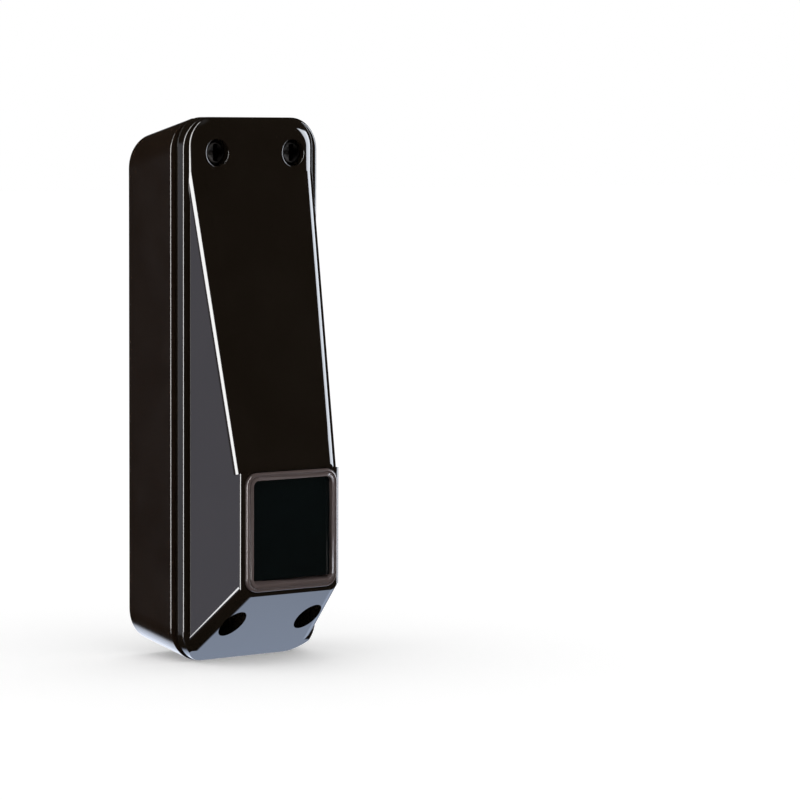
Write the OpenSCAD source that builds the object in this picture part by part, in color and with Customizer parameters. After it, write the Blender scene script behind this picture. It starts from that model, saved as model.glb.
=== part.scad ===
// Gate safety photocell for a wall or post.
// A drafted rear housing carries the board, the cells and the optic. A front cover with a sloping
// face, a window frame and four screws closes it.
// x runs to the right seen from the front, z runs up, the wall is the plane y = 0 and the front
// faces -y. A depth is a distance forward from the wall.

/* [Shell] */
// Height of the front cover
body_h = 142; // [138:1:150]
// Width across the skirt of the front cover
body_w = 43.6; // [42.6:0.2:47]
// Corner radius of the skirt, seen from the front
corner_r = 8.4; // [7.2:0.2:9.6]
// Wall thickness of the front cover
wall = 2.2; // [1.8:0.1:2.4]
// Wall thickness of the rear housing
rear_wall = 3; // [2.8:0.1:3.4]
// Thickness of the back plate
plate_t = 2.4; // [2:0.1:2.8]
// Depth of the rear housing, from the wall to the parting line
rear_d = 20; // [19.5:0.5:22]
// How far the rear housing stands proud of the skirt at either side
rear_proud = 1.3; // [1:0.1:1.8]
// Rounding of the rear housing's front rim
rim_r = 0.6; // [0.4:0.05:0.7]
// Lean of the rear housing's sides towards the wall, in degrees
side_lean = 2.2; // [0.2:0.2:4]
// Lean of the rear housing's top towards the wall, in degrees
top_lean = 12; // [6:1:13]
// Lean of the rear housing's underside towards the wall, in degrees
under_lean = 9; // [6:1:11]

/* [Front cover] */
// Depth of the skirt, from the parting line to the shoulder
skirt_d = 3.8; // [3.6:0.1:4.4]
// Rounding of the skirt's front edge
skirt_r = 0.7; // [0.5:0.1:1.3]
// Width of the shoulder along each long side
shoulder_w = 1.6; // [1.5:0.05:2]
// Rise of the upper flat above the shoulder
flat_rise = 2; // [1.6:0.1:2.6]
// Height of the upper flat, down from the top edge
flat_h = 14; // [13:0.5:18]
// Depth from the wall to the brow round the window
brow_d = 41; // [39:0.5:44]
// How far the brow is set in from each side of the skirt
brow_inset = 5.9; // [5.4:0.1:6.1]
// Rounding of the long ridges and of the upper flat's rim
ridge_r = 4; // [3:0.25:4.5]
// Rounding of the upright edges of the brow
brow_r = 1; // [0.6:0.1:1.4]
// Rounding of the edges between the side facets and the underside
under_r = 3.4; // [2:0.2:4]
// Depth of the skirt that the slanted underside leaves at the middle of the bottom edge
toe_lip = 0.2; // [0.1:0.05:1]

/* [Window] */
// Height of the window's centre above the bottom edge
window_rise = 35.2; // [35:0.2:37]
// Margin of the brow round the window ring
brow_margin = 1.1; // [1:0.1:2]
// Height of the window ring
ring_h = 31; // [29:0.1:32]
// Corner radius of the window ring
ring_r = 3.6; // [3:0.1:5]
// Width of the ring's face
ring_face = 2; // [1.8:0.1:2.6]
// How far the ring stands out of the brow
ring_proud = 1; // [0.6:0.1:1.4]
// Rounding of the ring's outer edge
ring_edge_r = 0.7; // [0.4:0.1:0.9]
// Depth of the window plate below the ring's face
window_recess = 1.3; // [0.8:0.1:1.6]
// Thickness of the window plate
window_t = 1.5; // [1:0.1:2]
// Thickness of the seal behind the window
window_seal_t = 0.8; // [0.5:0.1:1]
// Rise of the ring's sloped lower inner edge
ring_sill = 1; // [0.4:0.1:1.2]

/* [Cover screws] */
// Distance of the screws from the sides of the skirt
screw_side = 9.45; // [9:0.05:9.7]
// Distance of the upper screws from the top edge
screw_top = 9.2; // [8.8:0.1:10]
// Distance of the lower screws from the bottom edge
screw_bottom = 10.7; // [10:0.1:12]
// Diameter of the screw wells
well_dia = 7; // [6.8:0.1:7.4]
// Depth of the upper wells, from the flat to the screw head
well_d = 1.4; // [1:0.1:1.6]
// Rounding of the upper wells' rims
well_rim_r = 0.3; // [0.2:0.05:0.4]
// Diameter of the screw shanks
screw_dia = 3.5; // [3:0.1:3.6]
// Diameter of the screw heads
head_dia = 6.4; // [6:0.1:6.5]
// Height of the screw heads
head_h = 2; // [1.6:0.1:2.2]
// Length of the screws under the head
screw_len = 15; // [13:0.5:16]

/* [Wall fixing] */
// Width of the wall screw slots
slot_w = 4.5; // [4:0.1:5]
// Length of the wall screw slots
slot_len = 7; // [6:0.5:8]
// Distance of the slots from the top and bottom edges
slot_inset = 10.5; // [10.5:0.5:12]
// Diameter of the wall screws' heads
wall_head_dia = 8; // [7:0.5:9]
// Diameter of the cable hole through the back plate
cable_hole_dia = 11; // [9:0.5:12]
// Diameter of the cable that the grommet takes
cable_dia = 5; // [4:0.5:6]

/* [Board and cells] */
// Gap between the back plate and the board
board_gap = 2.6; // [2.2:0.1:3]
// Thickness of the board
board_t = 1.6; // [1:0.1:1.8]
// Gap between the board's edges and the walls of the rear housing
board_side_gap = 1.5; // [1.2:0.1:2.4]
// Diameter of the board screws
board_screw_dia = 2.5; // [2:0.1:2.6]
// Margin of the board on either side of the cell holder
holder_margin = 1.6; // [1:0.1:2]
// Length of a cell with its button
cell_len = 50.5; // [48:0.5:50.5]
// Wall of the cell holder
holder_wall = 1.1; // [0.8:0.1:1.2]

/* [Optic] */
// Diameter of the lens
lens_dia = 19; // [16:0.5:20]
// Gap between the lens and the frame behind the window
lens_gap = 0.5; // [0.3:0.1:1.5]
// Wall of the optic barrel
barrel_wall = 1.5; // [1.2:0.1:1.8]
// Diameter of the emitter
emitter_dia = 5; // [3:0.5:5]

/* [Terminals and switch] */
// Diameter of the terminal screws
terminal_screw_dia = 2.8; // [2.4:0.1:3]
// Spacing of the two terminals
terminal_pitch = 5; // [4.8:0.1:5.2]
// Height of the terminal block, up the board
terminal_h = 8; // [7:0.5:8.5]
// Depth of the terminal block in front of the board
terminal_rise = 9; // [8:0.5:10]
// Height of the selector switch, up the board
switch_h = 6.4; // [5.8:0.1:7]
// Width of the selector switch
switch_w = 6.6; // [6.2:0.1:7]
// Depth of the selector switch in front of the board
switch_rise = 3.4; // [3:0.1:4]
// Travel of a selector slider
slider_travel = 1.8; // [1.4:0.1:2]
// Spacing of the two sliders
slider_pitch = 2.54; // [2.4:0.02:2.6]

/* [Hidden] */
$fn = 64;

// Overrun of every cut past the faces it opens
over = 1;
// Clearance of a part that turns or slides
running = 0.05;
// Clearance of a part that is laid in place
loose = 0.15;
// Clearance between rubber and the pieces that move past it
soft_gap = 0.3;
// Half of a right angle, between the faces of a square edge
mitre = 45;
// A length that reaches past everything
beyond = body_h;

half_h = body_h / 2;
shoulder_d = rear_d + skirt_d;
flat_d = shoulder_d + flat_rise;
hump_w = body_w - 2 * shoulder_w;
hump_r = corner_r - shoulder_w / 2;
kink_z = half_h - flat_h;
brow_w = body_w - 2 * brow_inset;
ring_w = brow_w - 2 * brow_margin;
window_z = -half_h + window_rise;
bend_z = window_z + ring_h / 2 + brow_margin;
sill_z = window_z - ring_h / 2 - brow_margin;
face_slope = (brow_d - flat_d) / (kink_z - bend_z);
face_angle = atan(face_slope);
side_slope = (hump_w - brow_w) / 2 / (brow_d - shoulder_d);
side_angle = atan(side_slope);
under_slope = (brow_d - rear_d - toe_lip) / (half_h + sill_z);
under_angle = atan(under_slope);
flat_x = hump_w / 2 - flat_rise * side_slope;

rear_w = body_w + 2 * rear_proud;
rear_r = corner_r + rear_proud / 2;

// Seal groove under the cover's wall, and the tongue of the cover that presses on the seal
seat_t = 1.5 * rear_wall;
groove_w = 0.4 * wall;
groove_d = 0.6 * rear_wall;
groove_in = 0.4 * wall;
tongue_w = groove_w - 2 * loose;
tongue_h = 0.45 * groove_d;
seal_t = groove_d - tongue_h - soft_gap;

ring_d = brow_d + ring_proud;
window_d = ring_d - window_recess;
window_back_d = window_d - window_t;
pocket_d = window_back_d - window_seal_t;
frame_t = 0.8 * wall;
window_w = ring_w - ring_face;
window_h = ring_h - ring_face;
window_r = ring_r - ring_face / 2;
light_w = window_w - ring_face;
light_h = window_h - ring_face;
light_r = window_r - ring_face / 2;

upper_z = half_h - screw_top;
lower_z = -half_h + screw_bottom;
screw_x = body_w / 2 - screw_side;
screw_places = [[-screw_x, upper_z], [screw_x, upper_z], [-screw_x, lower_z], [screw_x, lower_z]];
head_seat_d = flat_d - well_d - head_h;
boss_dia = well_dia + 1.1 * wall;
post_dia = screw_dia + 1.8 * wall;
post_gap = 0.2 * wall;
oring_t = 0.6 * (head_dia - screw_dia) / 2 - soft_gap;
oring_r = screw_dia / 2 + soft_gap + oring_t / 2;
oring_seat_r = oring_r + oring_t / 2 + running;
oring_seat_d = oring_t + soft_gap;
screw_tip = screw_dia / 2;
drive_w = head_dia / 6;
drive_len = 0.7 * head_dia;
drive_d = 0.6 * head_h;

slot_z = half_h - slot_inset;

board_back_d = plate_t + board_gap;
board_d = board_back_d + board_t;
board_w = rear_w - 2 * (rear_wall + (rear_d - board_back_d) * tan(side_lean) + board_side_gap);
board_top = slot_z - wall_head_dia / 2 - loose;
board_bottom = -board_top;
flange_t = 0.4 * plate_t;
flange_r = cable_hole_dia / 2 + 0.6 * plate_t;
cable_z = -slot_z + (slot_len - slot_w + wall_head_dia) / 2 + loose + flange_r;
notch_w = cable_dia + 2 * wall;
rib_t = rear_wall / 2;

contact_t = holder_wall / 3;
holder_w = board_w - 2 * holder_margin;
bay_w = (holder_w - 3 * holder_wall) / 2;
bay_h = cell_len + 2 * contact_t + 2 * loose;
// Two cells side by side fill the holder
cell_dia = bay_w - 2 * loose;
holder_h = bay_h + 2 * holder_wall;
holder_z = board_top - loose - holder_h / 2;
cell_d = board_d + holder_wall + loose + cell_dia / 2;
cell_x = (bay_w + holder_wall) / 2;
holder_front_d = cell_d + cell_dia / 5;
thumb_dia = 1.5 * (holder_front_d - board_d);
cell_edge = 0.05 * cell_dia;
button_dia = 0.38 * cell_dia;
button_h = 0.09 * cell_dia;
contact_w = 0.6 * cell_dia;
contact_back_d = cell_d - cell_dia / 4;
contact_front_d = cell_d + cell_dia / 4;

board_screw_head = 1.8 * board_screw_dia;
board_screw_head_h = 0.6 * board_screw_dia;
board_screw_x = board_w / 2 - 1.2 * board_screw_dia;
board_screw_upper_z = holder_z - holder_h / 2 - 1.4 * board_screw_dia;
board_screw_lower_z = board_bottom + 1.2 * board_screw_dia;
board_screw_places = [
    for (x = [-board_screw_x, board_screw_x], z = [board_screw_upper_z, board_screw_lower_z]) [x, z]
];

barrel_front_r = lens_dia / 2 + barrel_wall + loose;
barrel_bore_r = emitter_dia / 2 + barrel_wall;
barrel_base_r = barrel_bore_r + barrel_wall;
lens_rim_t = barrel_wall;
lens_dome = 0.17 * lens_dia;
lens_d = pocket_d - frame_t - lens_gap - lens_dome;
lens_back_d = lens_d - lens_rim_t;
barrel_foot_r = barrel_base_r + barrel_wall;
dome_r = (lens_dia * lens_dia / 4 + lens_dome * lens_dome) / (2 * lens_dome);

terminal_w = 2 * terminal_pitch + wall / 4;
terminal_x = (notch_w + terminal_w) / 2 + loose;
terminal_z = board_screw_lower_z + board_screw_head / 2 + loose + terminal_h / 2;
terminal_front_d = board_d + terminal_rise;
entry_w = 0.6 * terminal_pitch;
entry_back_d = board_d + 0.12 * terminal_rise;
entry_front_d = board_d + 0.5 * terminal_rise;
entry_deep = 0.7 * terminal_h;
terminal_screw_x = [terminal_x - terminal_pitch / 2, terminal_x + terminal_pitch / 2];

switch_x = -terminal_x;
switch_z = terminal_z;
switch_front_d = board_d + switch_rise;
slider_size = slider_pitch / 2;
slider_back_d = switch_front_d - switch_rise / 2;
slider_front_d = switch_front_d + slider_size / 2;
slider_slot_h = slider_travel + slider_size + 2 * running;
slider_x = [switch_x - slider_pitch / 2, switch_x + slider_pitch / 2];

// Controller chip
chip_w = 5.2;
chip_h = 9.9;
chip_t = 1.6;
chip_stand = 0.2;
lead_pitch = 1.27;
lead_w = 0.4;
lead_len = 1.1;
lead_t = 0.2;
lead_count = 7;

// Radio module, which fills the board beside the foot of the optic
radio_margin = 1.3;
radio_w = board_w / 2 - barrel_foot_r - radio_margin;
radio_h = 13;
radio_board_t = 0.8;
can_w = radio_w - 2 * radio_board_t;
can_h = 8.4;
can_t = 2;

// Storage capacitor
cap_dia = 6.3;
cap_h = 7.7;
cap_groove = 0.3;

// Status light
light_dia = 3;
light_rise = 4.6;

// Resistors
resistor_w = 1.6;
resistor_h = 3.2;
resistor_t = 0.6;
resistor_cap = 0.5;
resistor_pitch = 2.4;
resistor_count = 3;

// The chip and the radio stand beside the foot of the optic, the small parts above it
chip_x = -barrel_foot_r - chip_w / 2 - lead_len - 2 * loose;
radio_x = barrel_foot_r + radio_w / 2 + loose;
small_z = (holder_z - holder_h / 2 + window_z + barrel_foot_r) / 2;
cap_x = -resistor_pitch * resistor_count / 2 - cap_dia / 2 - loose;
light_x = resistor_pitch * resistor_count / 2 + light_dia / 2 + loose;

// Carries an outline drawn in x and z forward from one depth to another
module forward(from_d, to_d) {
    translate([0, -from_d, 0])
        rotate([90, 0, 0])
            linear_extrude(to_d - from_d)
                children();
}

// Turns a section drawn as radius and depth about an axis that points forward
module turned(x, z) {
    translate([x, 0, z])
        rotate([90, 0, 0])
            rotate_extrude()
                children();
}

// Round bar that points forward
module bar(x, z, dia, from_d, to_d) {
    translate([x, -from_d, z])
        rotate([90, 0, 0])
            cylinder(h = to_d - from_d, d = dia);
}

// Block from one depth to another, centred on x and z
module block(x, z, w, h, from_d, to_d) {
    translate([x - w / 2, -to_d, z - h / 2])
        cube([w, to_d - from_d, h]);
}

// Carries a profile drawn in y and z across the width, centred on x = 0
module across(width) {
    rotate([90, 0, 90])
        translate([0, 0, -width / 2])
            linear_extrude(width)
                children();
}

// Rectangle with round corners, centred
module round_rect(w, h, r) {
    square([w - 2 * r, h], center = true);
    square([w, h - 2 * r], center = true);
    for (x = [-1, 1], z = [-1, 1])
        translate([x * (w / 2 - r), z * (h / 2 - r)])
            circle(r);
}

// Band of even width along the inside of a round rectangle
module round_band(w, h, r, from_in, to_in) {
    difference() {
        round_rect(w - 2 * from_in, h - 2 * from_in, r - from_in);
        round_rect(w - 2 * to_in, h - 2 * to_in, r - to_in);
    }
}

// What a rounding of radius r takes off a corner. The arc's centre is the origin and the corner
// is on +x. half is half the angle between the outward normals of the two faces.
module corner_waste(r, half) {
    lip = 2 * r;
    difference() {
        polygon([
            [r * cos(half), -r * sin(half)],
            [lip * cos(half), -lip * sin(half)],
            [lip / cos(half), 0],
            [lip * cos(half), lip * sin(half)],
            [r * cos(half), r * sin(half)]
        ]);
        circle(r);
    }
}

// Cutter that rounds the straight edge from a to b between faces with outward normals m and n
module edge_rounding(a, b, m, n, r) {
    mu = m / norm(m);
    nu = n / norm(n);
    half = acos(mu * nu) / 2;
    along = (b - a) / norm(b - a);
    outward = (mu + nu) / norm(mu + nu);
    yaw = atan2(along.y, along.x);
    tilt = acos(along.z);
    side_x = [cos(yaw) * cos(tilt), sin(yaw) * cos(tilt), -sin(tilt)];
    side_y = [-sin(yaw), cos(yaw), 0];
    translate(a - outward * r / cos(half) - along * over)
        rotate([0, tilt, yaw])
            rotate([0, 0, atan2(outward * side_y, outward * side_x)])
                linear_extrude(norm(b - a) + 2 * over)
                    corner_waste(r, half);
}

// Slot with round ends, longer up than across
module slot_outline(w, h) {
    square([w, h - w], center = true);
    for (s = [-1, 1])
        translate([0, s * (h - w) / 2])
            circle(d = w);
}

// Cutter that rounds the front edge, at depth d, of a round rectangle carried forward. side is 1
// for a solid's own edge and -1 for the edge of a hole.
module rim_rounding(w, h, r, d, edge, side) {
    x = w / 2 - r;
    z = h / 2 - r;
    centres = [[x, z], [-x, z], [-x, -z], [x, -z]];
    for (i = [0:3])
        translate([centres[i].x, 0, centres[i].y])
            rotate([90, -90 * i, 0])
                rotate_extrude(angle = 90)
                    translate([r - side * edge, d - edge])
                        rotate(2 * mitre - side * mitre)
                            corner_waste(edge, mitre);
    for (s = [-1, 1]) {
        translate([s * (w / 2 - side * edge), -d + edge, -z])
            rotate([0, 0, -2 * mitre + s * side * mitre])
                linear_extrude(2 * z)
                    corner_waste(edge, mitre);
        translate([-x, -d + edge, s * (h / 2 - side * edge)])
            rotate([90, 0, 90])
                linear_extrude(2 * x)
                    rotate(4 * mitre - s * side * mitre)
                        corner_waste(edge, mitre);
    }
}

// Everything inside one corner of the rear housing's form, whose lines lean inwards to the wall
module leaning_corner(sx, sz, w, h, r, lean) {
    translate([sx * w / 2, -rear_d, sz * h / 2])
        rotate([-sz * lean, 0, sx * side_lean])
            rotate([90, 0, 0])
                translate([0, 0, -beyond])
                    linear_extrude(2 * beyond)
                        union() {
                            translate([-sx * beyond / 2, -sz * (beyond + r) / 2])
                                square([beyond, beyond - r], center = true);
                            translate([-sx * (beyond + r) / 2, -sz * beyond / 2])
                                square([beyond - r, beyond], center = true);
                            translate([-sx * r, -sz * r])
                                circle(r);
                        }
}

// Rear housing's form from one depth to another, with every face moved inwards by inset
module rear_form(inset, from_d, to_d) {
    w = rear_w - 2 * inset;
    h = body_h - 2 * inset;
    r = rear_r - inset;
    intersection() {
        leaning_corner(-1, 1, w, h, r, top_lean);
        leaning_corner(1, 1, w, h, r, top_lean);
        leaning_corner(-1, -1, w, h, r, under_lean);
        leaning_corner(1, -1, w, h, r, under_lean);
        block(0, 0, rear_w, body_h, from_d, to_d);
    }
}

// Outline of the cover in y and z, with every face moved inwards by inset
module cover_profile(inset) {
    flat = flat_d - inset;
    brow = brow_d - inset;
    kink = kink_z - inset * tan(face_angle / 2);
    bend = bend_z - inset * tan(face_angle / 2);
    sill = sill_z + inset * tan(under_angle / 2);
    toe = -half_h - over;
    polygon([
        [0, half_h + over],
        [-flat, half_h + over],
        [-flat, kink],
        [-brow, bend],
        [-brow, sill],
        [-(brow - (sill - toe) * under_slope), toe],
        [0, toe]
    ]);
}

// Half of the profile in y and z, parted by the mitre between the upper flat and the sloping face.
// side is 1 for the half above the mitre and -1 for the half below it.
module mitre_side(side) {
    reach = flat_d - rear_d + over;
    kink_back = kink_z - reach * tan(face_angle / 2);
    ahead = ring_d - flat_d;
    kink_ahead = kink_z + ahead * tan(face_angle / 2);
    polygon([
        [-rear_d + over, kink_back],
        [-ring_d, kink_ahead],
        [-ring_d, side * body_h],
        [-rear_d + over, side * body_h]
    ]);
}

// Tapered plan of the hump in x and y, with the side facets moved inwards by inset
module hump_plan(inset) {
    shift = inset / cos(side_angle);
    wide = hump_w / 2 + skirt_d * side_slope - shift;
    narrow = hump_w / 2 - (ring_d - shoulder_d) * side_slope - shift;
    polygon([[-wide, -rear_d], [-narrow, -ring_d], [narrow, -ring_d], [wide, -rear_d]]);
}

// Body of the hump in front of from_d, with its outline and side facets moved inwards by inset
module hump_block(inset, from_d) {
    intersection() {
        forward(from_d, ring_d)
            round_rect(hump_w - 2 * inset, body_h - 2 * inset, hump_r - inset);
        translate([0, 0, -half_h])
            linear_extrude(body_h)
                hump_plan(inset);
    }
}

// Cutters along the ridges of the hump, the brow and the underside
module ridge_cutters() {
    face_n = [0, -1, face_slope];
    under_n = [0, -1, -under_slope];
    front_n = [0, -1, 0];
    toe_z = sill_z - (brow_d - shoulder_d) / under_slope;
    for (s = [-1, 1]) {
        side_n = [s, -side_slope, 0];
        brow_x = s * brow_w / 2;
        edge_rounding([s * flat_x, -flat_d, kink_z], [brow_x, -brow_d, bend_z],
            side_n, face_n, ridge_r);
        edge_rounding([brow_x, -brow_d, sill_z], [brow_x, -brow_d, bend_z],
            side_n, front_n, brow_r);
        edge_rounding([s * hump_w / 2, -shoulder_d, toe_z], [brow_x, -brow_d, sill_z],
            side_n, under_n, under_r);
    }
}

// Section of the upper flat's rim: x runs outwards from a line run inside the shoulder's edge,
// y is the depth
module rim_section(run) {
    edge = run - flat_rise * side_slope;
    half = (90 - side_angle) / 2;
    reach = ridge_r / cos(half);
    difference() {
        polygon([
            [0, rear_d],
            [run, rear_d],
            [run, shoulder_d],
            [edge, flat_d],
            [0, flat_d]
        ]);
        translate([edge - reach * sin(half), flat_d - ridge_r])
            rotate(90 - half)
                corner_waste(ridge_r, half);
    }
}

// Upper flat with its rounded rim, down to the mitre with the sloping face
module upper_flat() {
    x = hump_w / 2 - hump_r;
    z = half_h - hump_r;
    for (s = [-1, 1])
        turned(s * x, z)
            rim_section(hump_r);
    across(2 * x)
        translate([0, z])
            rotate(90)
                rim_section(hump_r);
    intersection() {
        linear_extrude(z)
            union() {
                mirror([0, 1])
                    translate([x, 0])
                        rim_section(hump_r);
                rotate(180)
                    translate([x, 0])
                        rim_section(hump_r);
                translate([-x, -flat_d])
                    square([2 * x, flat_d - rear_d]);
            }
        across(body_w)
            mitre_side(1);
    }
}

// Sloping face, brow, side facets and underside, with their rounded ridges
module sloping_part() {
    difference() {
        intersection() {
            hump_block(0, rear_d);
            across(body_w)
                intersection() {
                    cover_profile(0);
                    mitre_side(-1);
                }
        }
        ridge_cutters();
    }
}

// Outer form of the cover, solid
module cover_form() {
    intersection() {
        difference() {
            forward(rear_d, shoulder_d)
                round_rect(body_w, body_h, corner_r);
            rim_rounding(body_w, body_h, corner_r, shoulder_d, skirt_r, 1);
        }
        across(body_w + 2 * over)
            cover_profile(0);
    }
    upper_flat();
    sloping_part();
}

// Hollow of the cover
module cover_hollow() {
    intersection() {
        union() {
            forward(rear_d - over, shoulder_d - wall)
                round_rect(body_w - 2 * wall, body_h - 2 * wall, corner_r - wall);
            hump_block(wall, rear_d);
        }
        across(body_w)
            cover_profile(wall);
    }
}

// What stands inside the cover: the frame behind the window and the four screw bosses
module cover_inside() {
    intersection() {
        union() {
            forward(pocket_d - frame_t, brow_d)
                translate([0, window_z])
                    round_rect(ring_w + 2 * frame_t, ring_h + 2 * frame_t, ring_r + frame_t);
            for (p = screw_places)
                bar(p.x, p.y, boss_dia, rear_d + post_gap, brow_d);
        }
        across(body_w)
            cover_profile(wall / 2);
        translate([0, 0, -beyond])
            linear_extrude(2 * beyond)
                hump_plan(wall / 2);
    }
}

module front_cover() {
    color("#1d1a18")
        difference() {
            union() {
                difference() {
                    cover_form();
                    cover_hollow();
                }
                cover_inside();
                forward(rear_d - tongue_h, rear_d + wall / 4)
                    round_band(body_w, body_h, corner_r, groove_in + loose, groove_in + loose + tongue_w);
            }
            forward(pocket_d, ring_d + over)
                translate([0, window_z])
                    round_rect(ring_w + 2 * loose, ring_h + 2 * loose, ring_r + loose);
            forward(rear_d, ring_d)
                translate([0, window_z])
                    round_rect(light_w, light_h, light_r);
            for (p = screw_places) {
                bar(p.x, p.y, well_dia, head_seat_d, ring_d);
                bar(p.x, p.y, screw_dia + 2 * running, rear_d, ring_d);
                bar(p.x, p.y, 2 * oring_seat_r, head_seat_d - oring_seat_d, ring_d);
                if (p.y > 0)
                    turned(p.x, p.y)
                        translate([well_dia / 2 + well_rim_r, flat_d - well_rim_r])
                            rotate(3 * mitre)
                                corner_waste(well_rim_r, mitre);
            }
        }
}

// Seat under the cover's wall, posts, webs, ribs and standoffs inside the rear housing
module housing_inside() {
    intersection() {
        rear_form(rear_wall / 2, 0, rear_d);
        forward(rear_d - seat_t, rear_d)
            round_band(body_w, body_h, corner_r, 0, wall);
    }
    for (p = screw_places)
        bar(p.x, p.y, post_dia, plate_t / 2, rear_d - post_gap);
    for (p = board_screw_places)
        bar(p.x, p.y, 2 * board_screw_dia, plate_t / 2, board_back_d);
    for (z = [holder_z - holder_h / 4, holder_z + holder_h / 4])
        block(0, z, board_w - 2 * rib_t, rib_t, plate_t / 2, board_back_d);
    intersection() {
        rear_form(rear_wall / 2, plate_t / 2, rear_d - groove_d);
        for (p = screw_places)
            block(p.x, sign(p.y) * half_h, rib_t, 2 * (half_h - abs(p.y)), 0, rear_d);
    }
}

module rear_housing() {
    color("#221d1a")
        difference() {
            union() {
                difference() {
                    rear_form(0, 0, rear_d);
                    rear_form(rear_wall, plate_t, rear_d + over);
                    rim_rounding(rear_w, body_h, rear_r, rear_d, rim_r, 1);
                }
                housing_inside();
            }
            forward(rear_d - groove_d, rear_d + over)
                round_band(body_w, body_h, corner_r, groove_in, groove_in + groove_w);
            for (p = screw_places)
                bar(p.x, p.y, screw_dia + 2 * running, head_seat_d - screw_len - loose, rear_d);
            for (p = board_screw_places)
                bar(p.x, p.y, board_screw_dia, plate_t, board_d);
            bar(0, cable_z, cable_hole_dia, -over, board_d);
            bar(0, cable_z, 2 * flange_r + 2 * running, -over, flange_t);
            for (s = [-1, 1])
                forward(-over, plate_t + over)
                    translate([0, s * slot_z])
                        slot_outline(slot_w, slot_len);
        }
}

module perimeter_seal() {
    color("#3a3b3d")
        forward(rear_d - groove_d, rear_d - groove_d + seal_t)
            round_band(body_w, body_h, corner_r, groove_in + running, groove_in + groove_w - running);
}

module cable_grommet() {
    neck_r = cable_hole_dia / 2 - running;
    color("#2e2e30")
        turned(0, cable_z)
            polygon([
                [cable_dia / 2, 0],
                [flange_r, 0],
                [flange_r, flange_t],
                [neck_r, flange_t],
                [neck_r, plate_t],
                [flange_r, plate_t],
                [flange_r, plate_t + flange_t],
                [cable_dia / 2 + flange_t, board_back_d],
                [cable_dia / 2, board_back_d]
            ]);
}

module circuit_board() {
    color("#2c6a3a")
        forward(board_back_d, board_d)
            difference() {
                square([board_w, board_top - board_bottom], center = true);
                translate([0, cable_z])
                    circle(d = notch_w);
                translate([-notch_w / 2, board_bottom - over])
                    square([notch_w, cable_z - board_bottom + over]);
                for (p = board_screw_places)
                    translate(p)
                        circle(d = board_screw_dia + 2 * running);
            }
}

module board_screws() {
    slot = board_screw_head / 5;
    color("#c8c9cc")
        for (p = board_screw_places)
            difference() {
                union() {
                    bar(p.x, p.y, board_screw_dia - 2 * running, plate_t + loose, board_d + slot);
                    bar(p.x, p.y, board_screw_head, board_d, board_d + board_screw_head_h);
                }
                block(p.x, p.y, board_screw_head * 0.7, slot, board_d + board_screw_head_h / 2,
                    board_d + board_screw_head_h + over);
                block(p.x, p.y, slot, board_screw_head * 0.7, board_d + board_screw_head_h / 2,
                    board_d + board_screw_head_h + over);
            }
}

module controller_chip() {
    foot_x = chip_w / 2 + lead_len / 2;
    color("#26282b") {
        block(chip_x, window_z, chip_w, chip_h, board_d + chip_stand, board_d + chip_stand + chip_t);
        for (s = [-1, 1], i = [0:lead_count - 1]) {
            z = window_z + (i - (lead_count - 1) / 2) * lead_pitch;
            block(chip_x + s * chip_w / 2, z, lead_len, lead_w, board_d + chip_stand + chip_t / 2 - lead_t,
                board_d + chip_stand + chip_t / 2);
            block(chip_x + s * foot_x, z, lead_t, lead_w, board_d, board_d + chip_stand + chip_t / 2);
            block(chip_x + s * (foot_x + lead_len / 4), z, lead_len / 2 + lead_t, lead_w, board_d,
                board_d + lead_t);
        }
    }
}

module radio_module() {
    color("#3d6f8c")
        block(radio_x, window_z, radio_w, radio_h, board_d, board_d + radio_board_t);
    color("#b9bcc0")
        block(radio_x, window_z - (radio_h - can_h) / 2 + (radio_w - can_w) / 2, can_w, can_h,
            board_d, board_d + radio_board_t + can_t);
}

module storage_capacitor() {
    r = cap_dia / 2;
    color("#3b4046")
        turned(cap_x, small_z)
            polygon([
                [0, board_d],
                [r, board_d],
                [r, board_d + 3 * cap_groove],
                [r - cap_groove, board_d + 4 * cap_groove],
                [r, board_d + 5 * cap_groove],
                [r, board_d + cap_h - cap_groove],
                [r - cap_groove, board_d + cap_h],
                [r - 3 * cap_groove, board_d + cap_h - cap_groove],
                [0, board_d + cap_h - cap_groove]
            ]);
}

// Light emitting diode that faces forward: a flange, a round body and a domed end
module diode(x, z, dia, from_d, rise) {
    bar(x, z, 1.16 * dia, from_d, from_d + dia / 5);
    bar(x, z, dia, from_d, from_d + rise - dia / 2);
    translate([x, -(from_d + rise - dia / 2), z])
        sphere(d = dia);
}

module status_light() {
    color("#c92f2a")
        diode(light_x, small_z, light_dia, board_d, light_rise);
}

module resistors() {
    for (i = [0:resistor_count - 1]) {
        x = (i - (resistor_count - 1) / 2) * resistor_pitch;
        color("#1c1c1e")
            block(x, small_z, resistor_w, resistor_h, board_d, board_d + resistor_t);
        color("#c8c9cc")
            for (s = [-1, 1])
                block(x, small_z + s * (resistor_h - resistor_cap) / 2, resistor_w + running,
                    resistor_cap + running, board_d, board_d + resistor_t + running);
    }
}

module battery_holder() {
    color("#232427")
        difference() {
            block(0, holder_z, holder_w, holder_h, board_d, holder_front_d);
            for (s = [-1, 1]) {
                translate([s * cell_x, -cell_d, holder_z - bay_h / 2])
                    cylinder(h = bay_h, d = bay_w);
                block(s * cell_x, holder_z, bay_w, bay_h, cell_d, holder_front_d + over);
            }
            translate([-holder_w / 2 - over, -holder_front_d, holder_z])
                rotate([0, 90, 0])
                    cylinder(h = holder_w + 2 * over, d = thumb_dia);
        }
}

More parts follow.
